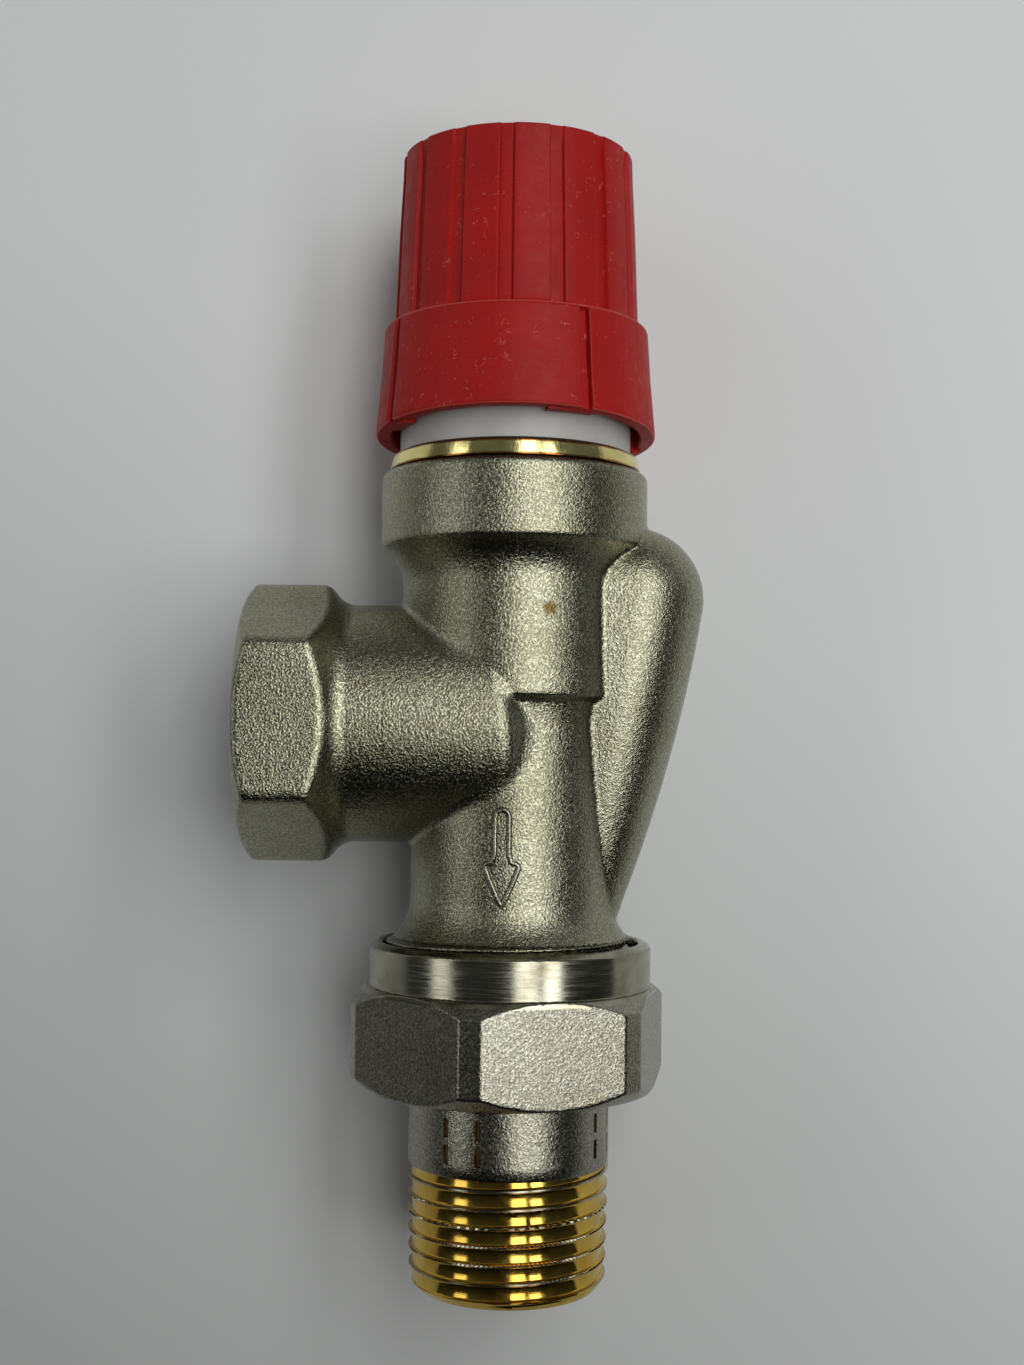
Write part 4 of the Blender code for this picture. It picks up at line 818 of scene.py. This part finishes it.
def make_spring():
    """The return spring, a round wire with closed end turns, built at one length though the real
    one shortens under the pin.
    """
    low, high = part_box("return_spring")
    foot, top = (low.y - ORIGIN[1]) / MM + 0.4, (high.y - ORIGIN[1]) / MM - 0.4
    turns, count, coil, wire = 8.5, 300, 2.9, 0.39
    share = np.linspace(0, 1, count)
    rise = np.clip((share * turns - 0.9) / (turns - 1.8), 0, 1)
    height = foot + (top - foot) * (0.94 * rise + 0.06 * share)
    angle = share * turns * TURN
    centre = np.stack([coil * np.cos(angle), coil * np.sin(angle), height], -1)
    out = np.stack([np.cos(angle), np.sin(angle), np.zeros(count)], -1)
    along = np.gradient(centre, axis=0)
    along /= np.linalg.norm(along, axis=1)[:, None]
    side = np.cross(along, out)
    rings = []
    for a in np.linspace(0, TURN, 10, endpoint=False):
        rings.append(centre + wire * (math.cos(a) * out + math.sin(a) * side))
    tube = capped(np.moveaxis(np.array(rings), 0, 1))
    spring = skin("spring_wound", tube, LOOKS["steel"], closed=False, sharp=60)
    joins(spring, "setting", "steel", "return_spring")
    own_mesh(spring)


def make_cap():
    """The hand cap: fifteen flutes in a drafted body, a shoulder, and a skirt with four grooves."""
    flutes = [math.radians(-5.3) + TURN * k / 15 for k in range(15)]
    grooves = [math.radians(29) + TURN * k / 4 for k in range(4)]
    marks = [f + s * a for f in flutes for a in (0.070, 0.062, 0.050, 0.02) for s in (-1, 1)]
    marks += [g + s * a for g in grooves for a in (0.046, 0.040, 0.034) for s in (-1, 1)]
    angles = np.concatenate([angles_from_front(180), np.array(marks) % TURN])
    angles = np.unique(np.round(angles, 5))

    def apart(places):
        return np.abs((angles[:, None] - np.array(places) + TURN / 2) % TURN - TURN / 2).min(1)

    flute = np.interp(apart(flutes), [0.0, 0.050, 0.062, 0.070], [1.0, 1.0, 0.07, 0.0]) * 0.42
    groove = np.interp(apart(grooves), [0.0, 0.034, 0.040, 0.046], [1.0, 1.0, 0.1, 0.0]) * 0.7
    # Radius, height, and the shares of a flute's and a groove's depth.
    outer = [(0.0, 59.95, 0, 0), (11.4, 59.95, 0.1, 0)]
    for a in np.linspace(0.2, 1.57, 5):
        outer.append((11.85 + 0.3 * math.sin(a), 59.65 + 0.3 * math.cos(a), 0.4, 0))
    outer += [(12.2, 57.8, 1, 0), (12.5, 52.0, 1, 0), (12.86, 42.3, 1, 0), (12.9, 41.9, 1, 0)]
    outer += [(13.0, 41.75, 0.6, 0)]
    outer += [(13.3, 41.68, 0, 0), (13.62, 41.58, 0, 0), (13.82, 41.4, 0, 0.3), (13.92, 41.1, 0, 1)]
    outer += [(14.25, 36.0, 0, 1), (14.68, 31.2, 0, 1), (14.74, 30.5, 0, 1), (14.72, 30.28, 0, 1)]
    outer += [(14.6, 30.15, 0, 0.7), (14.4, 30.1, 0, 0), (13.3, 30.1, 0, 0), (13.13, 30.3, 0, 0)]
    outer += [(13.13, 38.9, 0, 0), (11.3, 39.0, 0, 0)]
    outer += [(10.6, 57.6, 0, 0), (10.3, 57.8, 0, 0), (0.0, 57.8, 0, 0)]
    slant = np.cos(angles)
    rings = []
    for r, z, f, g in outer:
        rise = np.interp(z, [30.5, 36.0], [1.0, 0.0]) if r > 13.0 else 0.0
        rings.append(ring(r - f * flute - g * groove, z + rise * slant, angles))
    cap = skin("hand_cap", rings, LOOKS["red_plastic"], closed=False, sharp=40)

    # Faces for the lighter red: the lip's bottom edge as wear, the shoulder's top edge as a painted
    # highlight.
    def wear_and_highlight(x, y, z):
        rho = np.hypot(x, y)
        return (z + y / rho < 30.27) & (rho > 14.5) | (abs(z - 41.5) < 0.12) & (rho > 13.6)

    second_look(cap, LOOKS["red_wear_and_highlight"], wear_and_highlight)
    joins(cap, "cap", "red_plastic", "protective_cap")
    for k, middle in enumerate(grooves):
        arcs = middle - 0.08 + np.linspace(-0.19, 0.19, 14)
        foot = 29.95 + math.cos(middle)
        section = eased([(12.45, 34.2), (12.45, foot), (13.9, foot), (13.9, 34.2)], 0.2, True)
        lug = skin(f"cap_lug_{k + 1}", swept(section, arcs), LOOKS["red_plastic"], closed=False)
        joins(lug, "cap", "red_plastic")


KEPT = {
    "insert_o_ring": "rubber",
    "core_o_ring": "rubber",
    "gland_o_ring": "rubber",
    "throttle_sleeve": "dark_plastic",
    "spindle": "steel",
    "spring_plate": "steel",
    "cone_holder": "brass",
    "cone_seal": "rubber",
    "cone_washer": "steel",
}


def dress_kept_nodes():
    for node, look in KEPT.items():
        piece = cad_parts[node]
        for slot in piece.material_slots:
            slot.link = "OBJECT"
            slot.material = LOOKS[look]


# ---------------------------------------------------------------- floor, light and camera

def make_floor():
    mesh = bpy.data.meshes.new("floor")
    size = 1.5
    corners = [(-size, -size, 0), (size, -size, 0), (size, size, 0), (-size, size, 0)]
    mesh.from_pydata(corners, [], [(0, 1, 2, 3)])
    floor = bpy.data.objects.new("floor", mesh)
    bpy.context.scene.collection.objects.link(floor)
    floor.location.z = -0.00005
    look = Look("floor", (0.75, 0.77, 0.76), 0.5)
    parts = look.node("SeparateXYZ", {0: look.coords})
    right = look.node("Math", {0: parts.outputs["X"], 1: 0.55}, operation="MULTIPLY").outputs[0]
    along = look.node("Math", {0: parts.outputs["Y"], 1: right}, operation="ADD").outputs[0]
    # The floor colour is darker towards the bottom left: a painted shadow falling across the floor.
    painted_shadow = look.spread(along, -0.10, 0.03)
    look.use("Base Color", look.mixed(painted_shadow, (0.44, 0.45, 0.44), (0.76, 0.78, 0.77)))
    mesh.materials.append(look.material)


def facing(eye, aim):
    """The placing of a camera or lamp that looks from one point to another, with +Y up."""
    z = (Vector(eye) - Vector(aim)).normalized()
    x = Vector((0, 1, 0)).cross(z).normalized()
    return Matrix.Translation(eye) @ Matrix((x, z.cross(x), z)).transposed().to_4x4()


def area_light(name, location, target, size, power):
    data = bpy.data.lights.new(name, "AREA")
    data.shape = "RECTANGLE"
    data.size, data.size_y = size
    data.energy = power
    lamp = bpy.data.objects.new(name, data)
    bpy.context.scene.collection.objects.link(lamp)
    lamp.matrix_world = facing(location, target)


def make_lights():
    """Three long strip lamps, and a dim world that is darkest towards the foot of the frame."""
    centre = (0.0038, 0.17, 0.016)
    area_light("strip_centre", (0.175, 0.19, 0.75), centre, (0.22, 1.02), 2.5)
    area_light("strip_right", (0.501, 0.19, 0.766), centre, (0.20, 1.02), 2.7)
    area_light("strip_left", (-0.777, 0.19, 0.539), centre, (0.26, 1.02), 1.25)
    world = bpy.data.worlds.new("world")
    world.use_nodes = True
    tree = world.node_tree
    way = tree.nodes.new("ShaderNodeTexCoord").outputs["Generated"]
    parts = tree.nodes.new("ShaderNodeSeparateXYZ")
    tree.links.new(way, parts.inputs[0])
    level = tree.nodes.new("ShaderNodeMapRange")
    tree.links.new(parts.outputs["Y"], level.inputs[0])
    for socket, value in ((1, -0.5), (2, 0.7), (3, 0.006), (4, 0.12)):
        level.inputs[socket].default_value = value
    background = tree.nodes["Background"]
    background.inputs["Color"].default_value = (0.92, 0.96, 1.0, 1.0)
    tree.links.new(level.outputs[0], background.inputs["Strength"])
    bpy.context.scene.world = world


def make_camera():
    """A camera 178 mm above the main axis, tilted a little, with the cap at the frame's top."""
    data = bpy.data.cameras.new("camera")
    data.sensor_fit = "VERTICAL"
    data.sensor_height = 36.0
    data.sensor_width = 27.0
    focal_length, frame_height = 1690, 1365
    data.lens = data.sensor_height * focal_length / frame_height
    data.clip_start = 0.01
    camera = bpy.data.objects.new("camera", data)
    bpy.context.scene.collection.objects.link(camera)
    roll = Matrix.Rotation(math.radians(0.61), 4, "Z")
    camera.matrix_world = facing(place(-0.19, -178.0, -3.2), place(-0.09, 0.0, 4.45)) @ roll
    bpy.context.scene.camera = camera


make_camera()
make_floor()
make_lights()
make_casting()
make_arrow()
make_insert()
make_nut()
make_tail()
make_setting()
make_pin()
make_spring()
make_cap()
dress_kept_nodes()
bpy.context.scene.view_settings.view_transform = "Standard"
